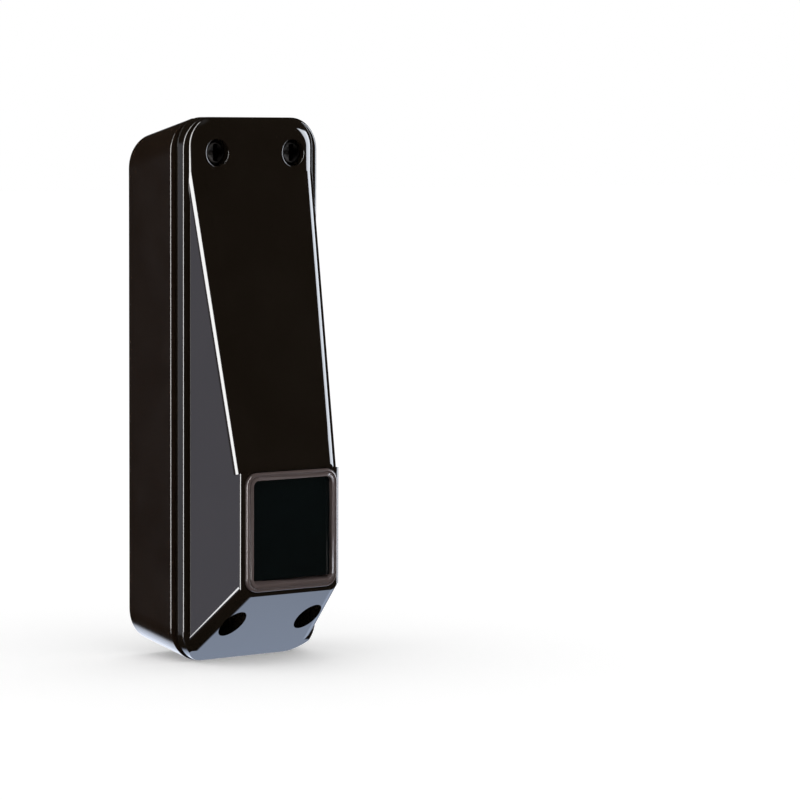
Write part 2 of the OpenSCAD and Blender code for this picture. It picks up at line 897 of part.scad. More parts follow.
// Round cell that stands in its bay, with its button at the top, or at the foot when turned over
module cell(x, turned_over) {
    r = cell_dia / 2;
    end = cell_len / 2;
    shoulder = end - button_h;
    translate([x, -cell_d, holder_z])
        rotate([turned_over ? 180 : 0, 0, 0])
            rotate_extrude()
                polygon([
                    [0, -end],
                    [r - cell_edge, -end],
                    [r, -end + cell_edge],
                    [r, shoulder - cell_edge],
                    [r - cell_edge, shoulder],
                    [button_dia / 2, shoulder],
                    [button_dia / 2, end],
                    [0, end]
                ]);
}

module battery_left() {
    color("#5a5f66")
        cell(-cell_x, false);
}

module battery_right() {
    color("#5a5f66")
        cell(cell_x, true);
}

module battery_contacts() {
    color("#c8c9cc")
        for (x = [-cell_x, cell_x], s = [-1, 1])
            block(x, holder_z + s * (bay_h - contact_t) / 2, contact_w, contact_t, contact_back_d,
                contact_front_d);
}

module optic_barrel() {
    color("#202124")
        turned(0, window_z)
            polygon([
                [barrel_bore_r, board_d],
                [barrel_foot_r, board_d],
                [barrel_foot_r, board_d + barrel_wall],
                [barrel_base_r, board_d + barrel_wall],
                [barrel_front_r, lens_back_d - barrel_wall],
                [barrel_front_r, lens_d],
                [lens_dia / 2 + loose, lens_d],
                [lens_dia / 2 + loose, lens_back_d],
                [lens_dia / 2 - barrel_wall / 2, lens_back_d],
                [lens_dia / 2 - barrel_wall / 2, lens_back_d - barrel_wall]
            ]);
}

module lens() {
    color("#9fb4c4") {
        bar(0, window_z, lens_dia, lens_back_d, lens_d);
        intersection() {
            bar(0, window_z, lens_dia, lens_back_d, lens_d + lens_dome + over);
            translate([0, -(lens_d + lens_dome - dome_r), window_z])
                sphere(dome_r);
        }
    }
}

module emitter() {
    color("#2b2338")
        diode(0, window_z, emitter_dia, board_d, 1.7 * emitter_dia);
}

module terminal_block() {
    color("#2f6f4a")
        difference() {
            block(terminal_x, terminal_z, terminal_w, terminal_h, board_d, terminal_front_d);
            for (x = terminal_screw_x) {
                bar(x, terminal_z, terminal_screw_dia + 2 * running, entry_back_d,
                    terminal_front_d + over);
                block(x, terminal_z - terminal_h / 2, entry_w, 2 * entry_deep, entry_back_d,
                    entry_front_d);
            }
        }
}

module terminal_screw(x) {
    color("#c8c9cc")
        difference() {
            bar(x, terminal_z, terminal_screw_dia, entry_front_d, terminal_front_d - loose);
            block(x, terminal_z, terminal_screw_dia + over, terminal_screw_dia / 5,
                terminal_front_d - terminal_screw_dia / 3, terminal_front_d);
        }
}

module selector_switch() {
    color("#b3372e")
        difference() {
            block(switch_x, switch_z, switch_w, switch_h, board_d, switch_front_d);
            for (x = slider_x)
                block(x, switch_z, slider_size + 2 * running, slider_slot_h, slider_back_d - running,
                    switch_front_d + over);
        }
}

module selector_slider(x) {
    color("#e8e6df")
        block(x, switch_z - slider_travel / 2, slider_size, slider_size, slider_back_d,
            slider_front_d);
}

module window_ring() {
    rest_z = window_z - light_h / 2;
    color("#5f5754")
        difference() {
            translate([0, 0, window_z])
                difference() {
                    forward(pocket_d, ring_d)
                        round_rect(ring_w, ring_h, ring_r);
                    forward(pocket_d - over, window_d)
                        round_rect(window_w, window_h, window_r);
                    rim_rounding(ring_w, ring_h, ring_r, ring_d, ring_edge_r, 1);
                }
            intersection() {
                forward(pocket_d - over, ring_d + over)
                    translate([0, window_z])
                        round_rect(light_w, light_h, light_r);
                across(light_w)
                    polygon([
                        [-pocket_d + over, rest_z + ring_sill],
                        [-window_d, rest_z + ring_sill],
                        [-ring_d, rest_z],
                        [-ring_d - over, rest_z],
                        [-ring_d - over, window_z + light_h],
                        [-pocket_d + over, window_z + light_h]
                    ]);
            }
        }
}

module window_plate() {
    color("#0a0c0d")
        forward(window_back_d, window_d - running)
            translate([0, window_z])
                round_rect(window_w - 2 * running, window_h - 2 * running, window_r - running);
}

module window_seal() {
    color("#2e2e30")
        forward(pocket_d, window_back_d)
            translate([0, window_z])
                difference() {
                    round_rect(window_w - 2 * loose, window_h - 2 * loose, window_r - loose);
                    round_rect(light_w, light_h, light_r);
                }
}

module screw_seals() {
    color("#2e2e30")
        for (p = screw_places)
            turned(p.x, p.y)
                translate([oring_r, head_seat_d - oring_seat_d + oring_t / 2])
                    circle(d = oring_t);
}

// Pan head screw with a cross recess, seated on its boss
module cover_screw(p) {
    head_back_d = head_seat_d + running;
    tip_d = head_seat_d - screw_len;
    edge = 0.4 * head_h;
    color("#8d9094")
        difference() {
            turned(p.x, p.y) {
                polygon([
                    [0, tip_d],
                    [screw_tip / 2, tip_d],
                    [screw_dia / 2, tip_d + screw_tip],
                    [screw_dia / 2, head_back_d + head_h / 2],
                    [0, head_back_d + head_h / 2]
                ]);
                translate([0, head_back_d]) {
                    square([head_dia / 2, head_h - edge]);
                    square([head_dia / 2 - edge, head_h]);
                    translate([head_dia / 2 - edge, head_h - edge])
                        circle(edge);
                }
            }
            block(p.x, p.y, drive_w, drive_len, head_back_d + head_h - drive_d, ring_d);
            block(p.x, p.y, drive_len, drive_w, head_back_d + head_h - drive_d, ring_d);
        }
}

rear_housing();
perimeter_seal();
cable_grommet();
circuit_board();
board_screws();
controller_chip();
radio_module();
storage_capacitor();
status_light();
resistors();
battery_holder();
battery_left();
battery_right();
battery_contacts();
optic_barrel();
lens();
emitter();
terminal_block();
terminal_screw(terminal_screw_x[0]);  // terminal_screw_left
terminal_screw(terminal_screw_x[1]);  // terminal_screw_right
selector_switch();
selector_slider(slider_x[0]);  // selector_slider_left
selector_slider(slider_x[1]);  // selector_slider_right
front_cover();
window_ring();
window_plate();
window_seal();
screw_seals();
cover_screw(screw_places[0]);  // cover_screw_top_left
cover_screw(screw_places[1]);  // cover_screw_top_right
cover_screw(screw_places[2]);  // cover_screw_bottom_left
cover_screw(screw_places[3]);  // cover_screw_bottom_right
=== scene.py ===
"""Looks of the gate safety photocell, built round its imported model."""

import math

import bmesh
import bpy
from mathutils import Matrix, Vector


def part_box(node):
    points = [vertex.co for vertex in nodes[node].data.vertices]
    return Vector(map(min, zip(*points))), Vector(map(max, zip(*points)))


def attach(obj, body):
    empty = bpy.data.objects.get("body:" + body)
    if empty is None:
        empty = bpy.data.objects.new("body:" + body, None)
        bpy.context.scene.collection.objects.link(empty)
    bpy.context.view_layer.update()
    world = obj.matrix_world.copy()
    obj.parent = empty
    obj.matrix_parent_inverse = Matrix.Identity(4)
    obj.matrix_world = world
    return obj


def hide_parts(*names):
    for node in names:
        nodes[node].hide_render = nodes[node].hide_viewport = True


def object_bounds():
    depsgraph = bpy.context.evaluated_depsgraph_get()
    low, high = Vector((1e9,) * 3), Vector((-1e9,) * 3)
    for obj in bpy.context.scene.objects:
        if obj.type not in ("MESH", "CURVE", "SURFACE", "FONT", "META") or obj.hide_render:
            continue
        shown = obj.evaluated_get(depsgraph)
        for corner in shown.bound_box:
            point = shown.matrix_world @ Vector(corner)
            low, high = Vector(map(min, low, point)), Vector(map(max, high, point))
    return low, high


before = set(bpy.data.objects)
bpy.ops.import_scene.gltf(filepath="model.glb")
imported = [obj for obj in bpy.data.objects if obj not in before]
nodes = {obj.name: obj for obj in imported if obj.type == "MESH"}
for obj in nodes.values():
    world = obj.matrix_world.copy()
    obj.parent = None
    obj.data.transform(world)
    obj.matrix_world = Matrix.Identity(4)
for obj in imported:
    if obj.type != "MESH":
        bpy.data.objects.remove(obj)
cad_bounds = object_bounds()

MM = 0.001
MICRON = 0.000001

# Camera, as fitted to the photograph: angles in degrees, lengths in metres
VIEW_YAW = -39.26
VIEW_PITCH = 4.17
VIEW_ROLL = 0.225
VIEW_DISTANCE = 1.0109
VIEW_AIM = Vector((0.05352, -0.020, -0.00552))
SENSOR_WIDTH = 36.0
LENS = 167.03
NEAR_CLIP = 0.05
FAR_CLIP = 20.0

# Level of the light that falls on matt surfaces, and of the white that the camera sees
SURROUND_LEVEL = 0.86
BACKDROP_LEVEL = 1.0

# The light panels that gloss reflects: azimuth and half width, from -x through the front to +x,
# then the elevations of the lower and upper edge, all in degrees, each edge's softness, the
# colour and the strength. Between them the surround is dark, as the gaps of a light tent are.
PANELS = {
    "skirt panel": (-50.5, 5.5, -30, 50, 1.5, (0.84, 0.88, 1.0), 0.62),
    "facet panel": (-24.5, 12.0, -40, 50, 9.0, (0.84, 0.84, 1.0), 1.32),
    "edge panel": (-17.0, 4.0, -17, -8, 1.5, (1.0, 1.0, 1.0), 18.0),
    "ridge panel": (8.0, 10.0, -12, 88, 5.0, (1.0, 1.0, 1.0), 23.0),
    "far panel": (152.0, 17.0, -9, 19, 2.0, (0.86, 0.91, 1.0), 13.0),
    "low far panel": (234.0, 40.0, -89, -26, 16.0, (0.64, 0.76, 1.0), 2.45),
    "low near panel": (-85.0, 25.0, -80, -44, 6.0, (0.72, 0.82, 1.0), 1.9),
    "back panel": (-110.0, 26.0, -34, 4, 7.0, (0.90, 0.93, 1.0), 1.5),
    "top panel": (0.0, 200.0, 72, 100, 8.0, (0.90, 0.94, 1.0), 0.22),
}
GAP_COLOUR = (0.02, 0.016, 0.012, 1.0)

FLOOR_SIZE = 12.0
FLOOR_COLOUR = (0.93, 0.93, 0.93, 1.0)
FLOOR_ROUGHNESS = 0.9
FLOOR_LIFT = 0.24

# Socket numbers of a Mix node, several of whose sockets share a name
MIX_SHARE = 0
MIX_VECTORS = (4, 5)
MIX_COLOURS = (6, 7)
MIX_VECTOR_RESULT = 1
MIX_COLOUR_RESULT = 2


def connect(tree, socket, value):
    """Links a socket to another node's output, or sets it to a value."""
    if isinstance(value, bpy.types.NodeSocket):
        tree.links.new(value, socket)
    else:
        socket.default_value = value


def place(tree, kind, inputs=None, **settings):
    """Adds a node. inputs gives each socket a value or another node's output."""
    made = tree.nodes.new(kind)
    for key, value in settings.items():
        setattr(made, key, value)
    for key, value in (inputs or {}).items():
        connect(tree, made.inputs[key], value)
    return made


def calculate(tree, operation, *values):
    """Output of a math node with the values given."""
    return place(tree, "ShaderNodeMath", dict(enumerate(values)), operation=operation).outputs[0]


def blend_colours(tree, share, first, second, mode="MIX"):
    """Output of a colour mix from first, at share 0, to second, at share 1."""
    inputs = {MIX_SHARE: share, MIX_COLOURS[0]: first, MIX_COLOURS[1]: second}
    mix = place(tree, "ShaderNodeMix", inputs, data_type="RGBA", blend_type=mode)
    return mix.outputs[MIX_COLOUR_RESULT]


def remap(tree, value, from_low, from_high, to_low=0.0, to_high=1.0):
    """Output of a smooth, clamped map from one range to another."""
    inputs = dict(enumerate((value, from_low, from_high, to_low, to_high)))
    return place(tree, "ShaderNodeMapRange", inputs, interpolation_type="SMOOTHSTEP").outputs[0]


def place_camera():
    """Camera at the photograph's viewing angle, rolled by the small tilt of the photograph."""
    yaw = math.radians(VIEW_YAW)
    pitch = math.radians(VIEW_PITCH)
    roll = math.radians(VIEW_ROLL)
    back = Vector((
        math.sin(yaw) * math.cos(pitch),
        -math.cos(yaw) * math.cos(pitch),
        math.sin(pitch),
    ))
    level_right = Vector((0, 0, 1)).cross(back).normalized()
    level_up = back.cross(level_right)
    right = level_right * math.cos(roll) + level_up * math.sin(roll)
    up = level_up * math.cos(roll) - level_right * math.sin(roll)
    data = bpy.data.cameras.new("camera")
    data.sensor_width = SENSOR_WIDTH
    data.lens = LENS
    data.clip_start = NEAR_CLIP
    data.clip_end = FAR_CLIP
    camera = bpy.data.objects.new("camera", data)
    axes = Matrix((right, up, back)).transposed().to_4x4()
    camera.matrix_world = Matrix.Translation(VIEW_AIM + back * VIEW_DISTANCE) @ axes
    bpy.context.scene.collection.objects.link(camera)
    bpy.context.scene.camera = camera


def panel_light(tree, direction, elevation, panel):
    """Colour output of one panel, black outside its edges."""
    azimuth, half_width, low, high, soft, colour, strength = panel
    turn = math.radians(azimuth)
    toward = (-math.cos(turn), -math.sin(turn), 0)
    along = (math.sin(turn), -math.cos(turn), 0)
    dots = []
    for axis in (toward, along):
        dot = place(tree, "ShaderNodeVectorMath", {0: direction, 1: axis}, operation="DOT_PRODUCT")
        dots.append(dot.outputs["Value"])
    offset = calculate(tree, "ABSOLUTE", calculate(tree, "ARCTAN2", dots[1], dots[0]))
    rim = math.radians(half_width)
    blur = math.radians(soft)
    wide = remap(tree, offset, rim - blur / 2, rim + blur / 2, 1.0, 0.0)
    bottom = math.radians(low)
    top = math.radians(high)
    tall = calculate(
        tree, "MULTIPLY",
        remap(tree, elevation, bottom - blur, bottom + blur),
        remap(tree, elevation, top - blur, top + blur, 1.0, 0.0),
    )
    shape = calculate(tree, "MULTIPLY", wide, tall)
    lit = tuple(part * strength for part in colour) + (1.0,)
    return blend_colours(tree, shape, (0, 0, 0, 1), lit)


def light_surround():
    """World: white to the camera, even light to matt surfaces, panels and dark gaps to gloss."""
    world = bpy.data.worlds.new("surround")
    world.use_nodes = True
    world.cycles.sampling_method = "NONE"
    tree = world.node_tree
    tree.nodes.clear()
    direction = place(tree, "ShaderNodeTexCoord").outputs["Generated"]
    height = place(tree, "ShaderNodeSeparateXYZ", {0: direction}).outputs["Z"]
    elevation = calculate(tree, "ARCSINE", height)
    reflected = GAP_COLOUR
    for panel in PANELS.values():
        light = panel_light(tree, direction, elevation, panel)
        reflected = blend_colours(tree, 1.0, reflected, light, "ADD")
    rays = place(tree, "ShaderNodeLightPath").outputs
    seen = calculate(tree, "ADD", rays["Is Camera Ray"], rays["Is Transmission Ray"])
    matt = (SURROUND_LEVEL,) * 3 + (1.0,)
    white = (BACKDROP_LEVEL,) * 3 + (1.0,)
    colour = blend_colours(tree, rays["Is Glossy Ray"], matt, reflected)
    colour = blend_colours(tree, seen, colour, white)
    background = place(tree, "ShaderNodeBackground", {"Color": colour, "Strength": 1.0})
    place(tree, "ShaderNodeOutputWorld", {"Surface": background.outputs[0]})
    bpy.context.scene.world = world


def lay_floor():
    """Plain pale floor at the lowest point of the object, white where no shadow falls."""
    mesh = bpy.data.meshes.new("floor")
    shape = bmesh.new()
    bmesh.ops.create_grid(shape, x_segments=1, y_segments=1, size=FLOOR_SIZE / 2)
    shape.to_mesh(mesh)
    shape.free()
    floor = bpy.data.objects.new("floor", mesh)
    floor.location = (0, 0, cad_bounds[0][2])
    bpy.context.scene.collection.objects.link(floor)
    floor.visible_glossy = False
    material, tree, surface = start_material("floor_paint", {
        "Base Color": FLOOR_COLOUR, "Roughness": FLOOR_ROUGHNESS, "Specular IOR Level": 0.0,
        "Emission Color": (1, 1, 1, 1)})
    rays = place(tree, "ShaderNodeLightPath").outputs
    seen = calculate(tree, "ADD", rays["Is Camera Ray"], rays["Is Glossy Ray"])
    seen = calculate(tree, "ADD", seen, rays["Is Transmission Ray"])
    lift = calculate(tree, "MULTIPLY", seen, FLOOR_LIFT)
    tree.links.new(lift, surface.inputs["Emission Strength"])
    mesh.materials.append(material)


def tint(red, green, blue):
    """Colour socket value from the red, green and blue of a screen, 0 to 255."""
    parts = []
    for level in (red, green, blue):
        share = level / 255
        parts.append(share / 12.92 if share <= 0.04045 else ((share + 0.055) / 1.055) ** 2.4)
    return (*parts, 1.0)


def new_group(name, inputs, outputs):
    """Shader group with named sockets. Returns its tree, its input values and its results."""
    group = bpy.data.node_groups.new(name, "ShaderNodeTree")
    kinds = {"float": "NodeSocketFloat", "colour": "NodeSocketColor", "vector": "NodeSocketVector"}
    for socket, (kind, value) in inputs.items():
        made = group.interface.new_socket(name=socket, in_out="INPUT", socket_type=kinds[kind])
        made.default_value = value
    for socket, kind in outputs.items():
        group.interface.new_socket(name=socket, in_out="OUTPUT", socket_type=kinds[kind])
    entry = group.nodes.new("NodeGroupInput")
    results = group.nodes.new("NodeGroupOutput")
    return group, entry.outputs, results.inputs


def use_group(tree, name, inputs):
    """Places a shader group in a material and returns its outputs."""
    made = tree.nodes.new("ShaderNodeGroup")
    made.node_tree = bpy.data.node_groups[name]
    for key, value in inputs.items():
        connect(tree, made.inputs[key], value)
    return made.outputs


def object_point(tree):
    """Place on the object, in metres, for patterns that stay with it."""
    return place(tree, "ShaderNodeTexCoord").outputs["Object"]


def drift_and_relief(tree, given, result, gloss_noise, relief_noise):
    """Ends a group: roughness that drifts with one noise, and relief from another."""
    centred = calculate(tree, "SUBTRACT", gloss_noise, 0.5)
    drift = calculate(tree, "MULTIPLY", centred, given["Spread"])
    relief = place(tree, "ShaderNodeBump", {
        "Strength": 1.0, "Distance": given["Depth"], "Height": relief_noise})
    tree.links.new(calculate(tree, "ADD", given["Roughness"], drift), result["Roughness"])
    tree.links.new(relief.outputs[0], result["Normal"])


# Scale of the field over which a moulding's gloss drifts, as a share of its grain's scale
GLOSS_FIELD_SHARE = 0.05


def build_moulded_grain():
    """Grain of a moulding: fine relief, and gloss that drifts over a wider field."""
    inputs = {
        "Scale": ("float", 4000.0),
        "Depth": ("float", 10 * MICRON),
        "Roughness": ("float", 0.4),
        "Spread": ("float", 0.05),
    }
    tree, given, result = new_group("moulded_grain", inputs, {"Roughness": "float", "Normal": "vector"})
    point = object_point(tree)
    fine = place(tree, "ShaderNodeTexNoise", {
        "Vector": point, "Scale": given["Scale"], "Detail": 4.0, "Roughness": 0.55})
    wide_scale = calculate(tree, "MULTIPLY", given["Scale"], GLOSS_FIELD_SHARE)
    wide = place(tree, "ShaderNodeTexNoise", {"Vector": point, "Scale": wide_scale, "Detail": 3.0})
    drift_and_relief(tree, given, result, wide.outputs[0], fine.outputs[0])


# Handling marks: how far and which way the hairlines bend, turn and stretch, how much finer than
# their patches the hairlines and specks are, and the noise levels where each begins and is full
HAIR_BEND = 0.02
HAIR_TURN = (0.4, 0.9, 0.3)
HAIR_STRETCH = (0.06, 1.0, 1.0)
HAIR_FINENESS = 8.0
SPECK_FINENESS = 6.0
HAIR_LEVELS = (0.66, 0.74)
PATCH_LEVELS = (0.5, 0.7)
SPECK_LEVELS = (0.05, 0.09)


def build_handling_marks():
    """Sparse hairline scuffs and specks left by handling, as a mask."""
    inputs = {"Scale": ("float", 120.0), "Amount": ("float", 0.2)}
    tree, given, result = new_group("handling_marks", inputs, {"Mask": "float"})
    point = object_point(tree)
    warp = place(tree, "ShaderNodeTexNoise", {"Vector": point, "Scale": given["Scale"], "Detail": 1.0})
    bend = {MIX_SHARE: HAIR_BEND, MIX_VECTORS[0]: point, MIX_VECTORS[1]: warp.outputs["Color"]}
    bent = place(tree, "ShaderNodeMix", bend, data_type="VECTOR")
    stretched = place(tree, "ShaderNodeMapping", {
        "Vector": bent.outputs[MIX_VECTOR_RESULT], "Rotation": HAIR_TURN, "Scale": HAIR_STRETCH})
    line_scale = calculate(tree, "MULTIPLY", given["Scale"], HAIR_FINENESS)
    lines = place(tree, "ShaderNodeTexNoise", {
        "Vector": stretched.outputs[0], "Scale": line_scale, "Detail": 2.0})
    speck_scale = calculate(tree, "MULTIPLY", given["Scale"], SPECK_FINENESS)
    cells = place(tree, "ShaderNodeTexVoronoi", {"Vector": point, "Scale": speck_scale})
    patches = remap(tree, warp.outputs[0], *PATCH_LEVELS)
    hairs = calculate(tree, "MULTIPLY", remap(tree, lines.outputs[0], *HAIR_LEVELS), patches)
    specks = remap(tree, cells.outputs["Distance"], *SPECK_LEVELS, 1.0, 0.0)
    marks = calculate(tree, "MAXIMUM", hairs, calculate(tree, "MULTIPLY", specks, patches))
    tree.links.new(calculate(tree, "MULTIPLY", marks, given["Amount"]), result["Mask"])


def build_rolled_metal():
    """Fine parallel marks of drawn or rolled metal, as gloss and relief."""
    inputs = {
        "Scale": ("float", 3000.0),
        "Stretch": ("vector", (1.0, 1.0, 0.05)),
        "Depth": ("float", 3 * MICRON),
        "Roughness": ("float", 0.3),
        "Spread": ("float", 0.2),
    }
    tree, given, result = new_group("rolled_metal", inputs, {"Roughness": "float", "Normal": "vector"})
    stretch = {0: object_point(tree), 1: given["Stretch"]}
    drawn = place(tree, "ShaderNodeVectorMath", stretch, operation="MULTIPLY")
    lines = place(tree, "ShaderNodeTexNoise", {
        "Vector": drawn.outputs[0], "Scale": given["Scale"], "Detail": 3.0})
    drift_and_relief(tree, given, result, lines.outputs[0], lines.outputs[0])


# Noise levels between which the first shade turns into the second
SHADE_LEVELS = (0.3, 0.7)


def build_colour_drift():
    """Slow change of a colour over a moulding or a coat, between two close shades."""
    inputs = {
        "Scale": ("float", 60.0),
        "Shade": ("colour", (0.1, 0.1, 0.1, 1.0)),
        "Second Shade": ("colour", (0.12, 0.12, 0.12, 1.0)),
    }
    tree, given, result = new_group("colour_drift", inputs, {"Color": "colour"})
    cloud = place(tree, "ShaderNodeTexNoise", {
        "Vector": object_point(tree), "Scale": given["Scale"], "Detail": 5.0})
    share = remap(tree, cloud.outputs[0], *SHADE_LEVELS)
    tree.links.new(blend_colours(tree, share, given["Shade"], given["Second Shade"]), result["Color"])


def start_material(name, sockets):
    """New material. Returns it, its tree and its surface, with the even values set."""
    material = bpy.data.materials.new(name)
    material.use_nodes = True
    tree = material.node_tree
    surface = tree.nodes["Principled BSDF"]
    for key, value in sockets.items():
        surface.inputs[key].default_value = value
    return material, tree, surface


def mix_finish(name, sockets, shades, group, values, marks=0.0):
    """Material with two close shades, gloss and relief from a group, and any handling marks."""
    material, tree, surface = start_material(name, sockets)
    colour = use_group(tree, "colour_drift", shades)["Color"]
    finish = use_group(tree, group, values)
    gloss = finish["Roughness"]
    if marks:
        mask = use_group(tree, "handling_marks", {"Amount": marks})["Mask"]
        gloss = calculate(tree, "ADD", gloss, mask)
    tree.links.new(colour, surface.inputs["Base Color"])
    tree.links.new(gloss, surface.inputs["Roughness"])
    tree.links.new(finish["Normal"], surface.inputs["Normal"])
    return material


def plastic(name, shade, second, roughness, grain, microns, sockets, marks=0.0, spread=0.06):
    """Moulded plastic, rubber, resin or ink, with its grain."""
    shades = {"Shade": tint(*shade), "Second Shade": tint(*second)}
    values = {"Scale": grain, "Depth": microns * MICRON, "Roughness": roughness, "Spread": spread}
    return mix_finish(name, sockets, shades, "moulded_grain", values, marks)


METAL_CLOUD_SCALE = 400.0


def metal(name, shade, second, roughness):
    """Plated or drawn metal with fine working marks."""
    shades = {"Shade": tint(*shade), "Second Shade": tint(*second), "Scale": METAL_CLOUD_SCALE}
    return mix_finish(name, {"Metallic": 1.0}, shades, "rolled_metal", {"Roughness": roughness})


# Plastics, rubbers, resins and inks: two close shades, roughness, grain scale, relief in microns,
# the surface's even values, then the marks and the spread of gloss where they aren't the usual
PLASTICS = {
    "housing_plastic": ((27, 18, 12), (31, 22, 16), 0.14, 2500, 2, {"IOR": 1.5}, 0.10),
    "cover_plastic": ((22, 17, 12), (25, 20, 15), 0.055, 300, 1.2, {"IOR": 1.5}, 0.05, 0.02),
    "ring_plastic": ((84, 73, 71), (89, 78, 76), 0.2, 6000, 4, {"Specular IOR Level": 0.4}, 0.08),
    "window_filter": ((7, 12, 13), (8, 14, 15), 0.04, 200, 0.6, {"IOR": 1.5}, 0.04, 0.01),
    "seal_rubber": ((42, 42, 44), (47, 47, 48), 0.62, 5000, 10, {}),
    "board_laminate": ((24, 92, 52), (28, 100, 58), 0.3, 3000, 4, {}),
    "board_track": ((44, 124, 66), (50, 132, 72), 0.28, 3000, 3, {}),
    "board_ink": ((222, 224, 220), (232, 233, 229), 0.55, 6000, 4, {}),
    "chip_plastic": ((33, 34, 36), (38, 39, 41), 0.5, 9000, 6, {}),
    "radio_laminate": ((22, 62, 104), (26, 70, 114), 0.3, 3000, 4, {}),
    "capacitor_sleeve": ((38, 41, 48), (42, 45, 52), 0.35, 3000, 3, {}),
    "light_resin": ((190, 34, 28), (200, 40, 32), 0.12, 2000, 1, {}),
    "resistor_ceramic": ((28, 28, 30), (34, 34, 36), 0.4, 9000, 4, {}),
    "white_ceramic": ((224, 222, 216), (231, 229, 224), 0.4, 8000, 3, {}),
    "holder_plastic": ((32, 33, 35), (37, 38, 40), 0.46, 5000, 8, {}),
    "cell_can": ((60, 64, 70), (66, 70, 76), 0.28, 3000, 2, {}),
    "cell_band": ((188, 150, 58), (196, 158, 66), 0.3, 3000, 2, {}),
    "cell_seal": ((228, 226, 220), (234, 232, 228), 0.5, 5000, 6, {}),
    "barrel_plastic": ((30, 31, 33), (34, 35, 37), 0.5, 6000, 8, {}),
    "lens_resin": (
        (225, 232, 238), (232, 238, 242), 0.04, 500, 0.6, {"Transmission Weight": 1.0, "IOR": 1.52}),
    "emitter_resin": (
        (46, 30, 66), (54, 36, 76), 0.08, 500, 0.6, {"Transmission Weight": 0.6, "IOR": 1.5}),
    "terminal_plastic": ((36, 112, 70), (41, 120, 76), 0.38, 4000, 6, {}),
    "switch_plastic": ((168, 48, 40), (176, 54, 45), 0.38, 4000, 5, {}),
    "slider_plastic": ((228, 226, 218), (234, 232, 226), 0.36, 4000, 5, {}),
}
# Metals: two close shades and the roughness
METALS = {
    "cover_screw_steel": ((19, 17, 15), (24, 21, 18), 0.48),
    "screw_steel": ((196, 196, 194), (208, 207, 203), 0.3),
    "contact_metal": ((205, 203, 196), (214, 211, 204), 0.25),
    "radio_can": ((186, 187, 187), (200, 200, 198), 0.32),
    "gold_pad": ((214, 178, 104), (222, 188, 116), 0.28),
}


def mix_finishes():
    """Every finish, by its name."""
    for build in (build_moulded_grain, build_handling_marks, build_rolled_metal, build_colour_drift):
        build()
    mixed = {name: plastic(name, *values) for name, values in PLASTICS.items()}
    mixed.update({name: metal(name, *values) for name, values in METALS.items()})
    return mixed


finishes = mix_finishes()


def finish_nodes():
    """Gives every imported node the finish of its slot."""
    for piece in nodes.values():
        for slot in piece.material_slots:
            slot.material = finishes[slot.material.name.split(".")[0]]


def node_box(node):
    """Lowest corner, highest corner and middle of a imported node."""
    low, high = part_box(node)
    return low, high, (low + high) / 2


def board_face():
    """Depth of the circuit board's front face."""
    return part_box("circuit_board")[0].y


def weld_node(node):
    """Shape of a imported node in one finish, its points joined."""
    shape = bmesh.new()
    shape.from_mesh(nodes[node].data)
    bmesh.ops.remove_doubles(shape, verts=shape.verts, dist=MICRON)
    for face in shape.faces:
        face.material_index = 0
    return shape


def add_block(shape, low, high, finish=0, edge=0.0):
    """Block between two corners, its edges rounded by edge."""
    made = bmesh.ops.create_cube(shape, size=1.0)["verts"]
    for vert in made:
        vert.co = Vector(high[i] if vert.co[i] > 0 else low[i] for i in range(3))
    faces = list(dict.fromkeys(face for vert in made for face in vert.link_faces))
    for face in faces:
        face.material_index = finish
    if edge:
        edges = list(dict.fromkeys(line for face in faces for line in face.edges))
        bmesh.ops.bevel(shape, geom=edges, offset=edge, segments=2, affect="EDGES", profile=0.5)


def round_ring(shape, middle, first, second, radius, steps):
    """Ring of points round a middle, in the plane of two directions."""
    turns = [2 * math.pi * i / steps for i in range(steps)]
    return [
        shape.verts.new(middle + (first * math.cos(turn) + second * math.sin(turn)) * radius)
        for turn in turns
    ]


def join_rings(shape, rings, finish=0, closed=True):
    """Tube through rings of points, with a face at either end where it is closed."""
    for ring, after in zip(rings, rings[1:]):
        for i in range(len(ring)):
            j = (i + 1) % len(ring)
            shape.faces.new([ring[i], ring[j], after[j], after[i]]).material_index = finish
    if closed:
        shape.faces.new(list(reversed(rings[0]))).material_index = finish
        shape.faces.new(rings[-1]).material_index = finish


def add_turned(shape, profile, centre, axis, steps):
    """Solid turned round an axis through centre. The profile's entries are the radius, the run
    along the axis and the finish of the face that follows."""
    axis = Vector(axis).normalized()
    first = axis.orthogonal().normalized()
    second = axis.cross(first)
    rings = []
    for radius, run, finish in profile:
        middle = Vector(centre) + axis * run
        if radius == 0:
            rings.append([shape.verts.new(middle)])
        else:
            rings.append(round_ring(shape, middle, first, second, radius, steps))
    for ring, after, (radius, run, finish) in zip(rings, rings[1:], profile):
        for i in range(steps):
            j = (i + 1) % steps
            corners = [ring[i % len(ring)], ring[j % len(ring)],
                       after[j % len(after)], after[i % len(after)]]
            corners = list(dict.fromkeys(corners))
            if len(corners) > 2:
                shape.faces.new(corners).material_index = finish


WIRE_SIDES = 8


def add_wire(shape, points, radius):
    """Round wire along a line of points, closed at both ends."""
    points = [Vector(point) for point in points]
    normal = None
    rings = []
    for i, point in enumerate(points):
        along = (points[min(i + 1, len(points) - 1)] - points[max(i - 1, 0)]).normalized()
        normal = along.orthogonal() if normal is None else normal - along * normal.dot(along)
        normal = normal.normalized()
        rings.append(round_ring(shape, point, normal, along.cross(normal), radius, WIRE_SIDES))
    join_rings(shape, rings)


# Least cosine of the lean by which a strip's width is stretched at a turn
STRIP_LEAN = 0.4


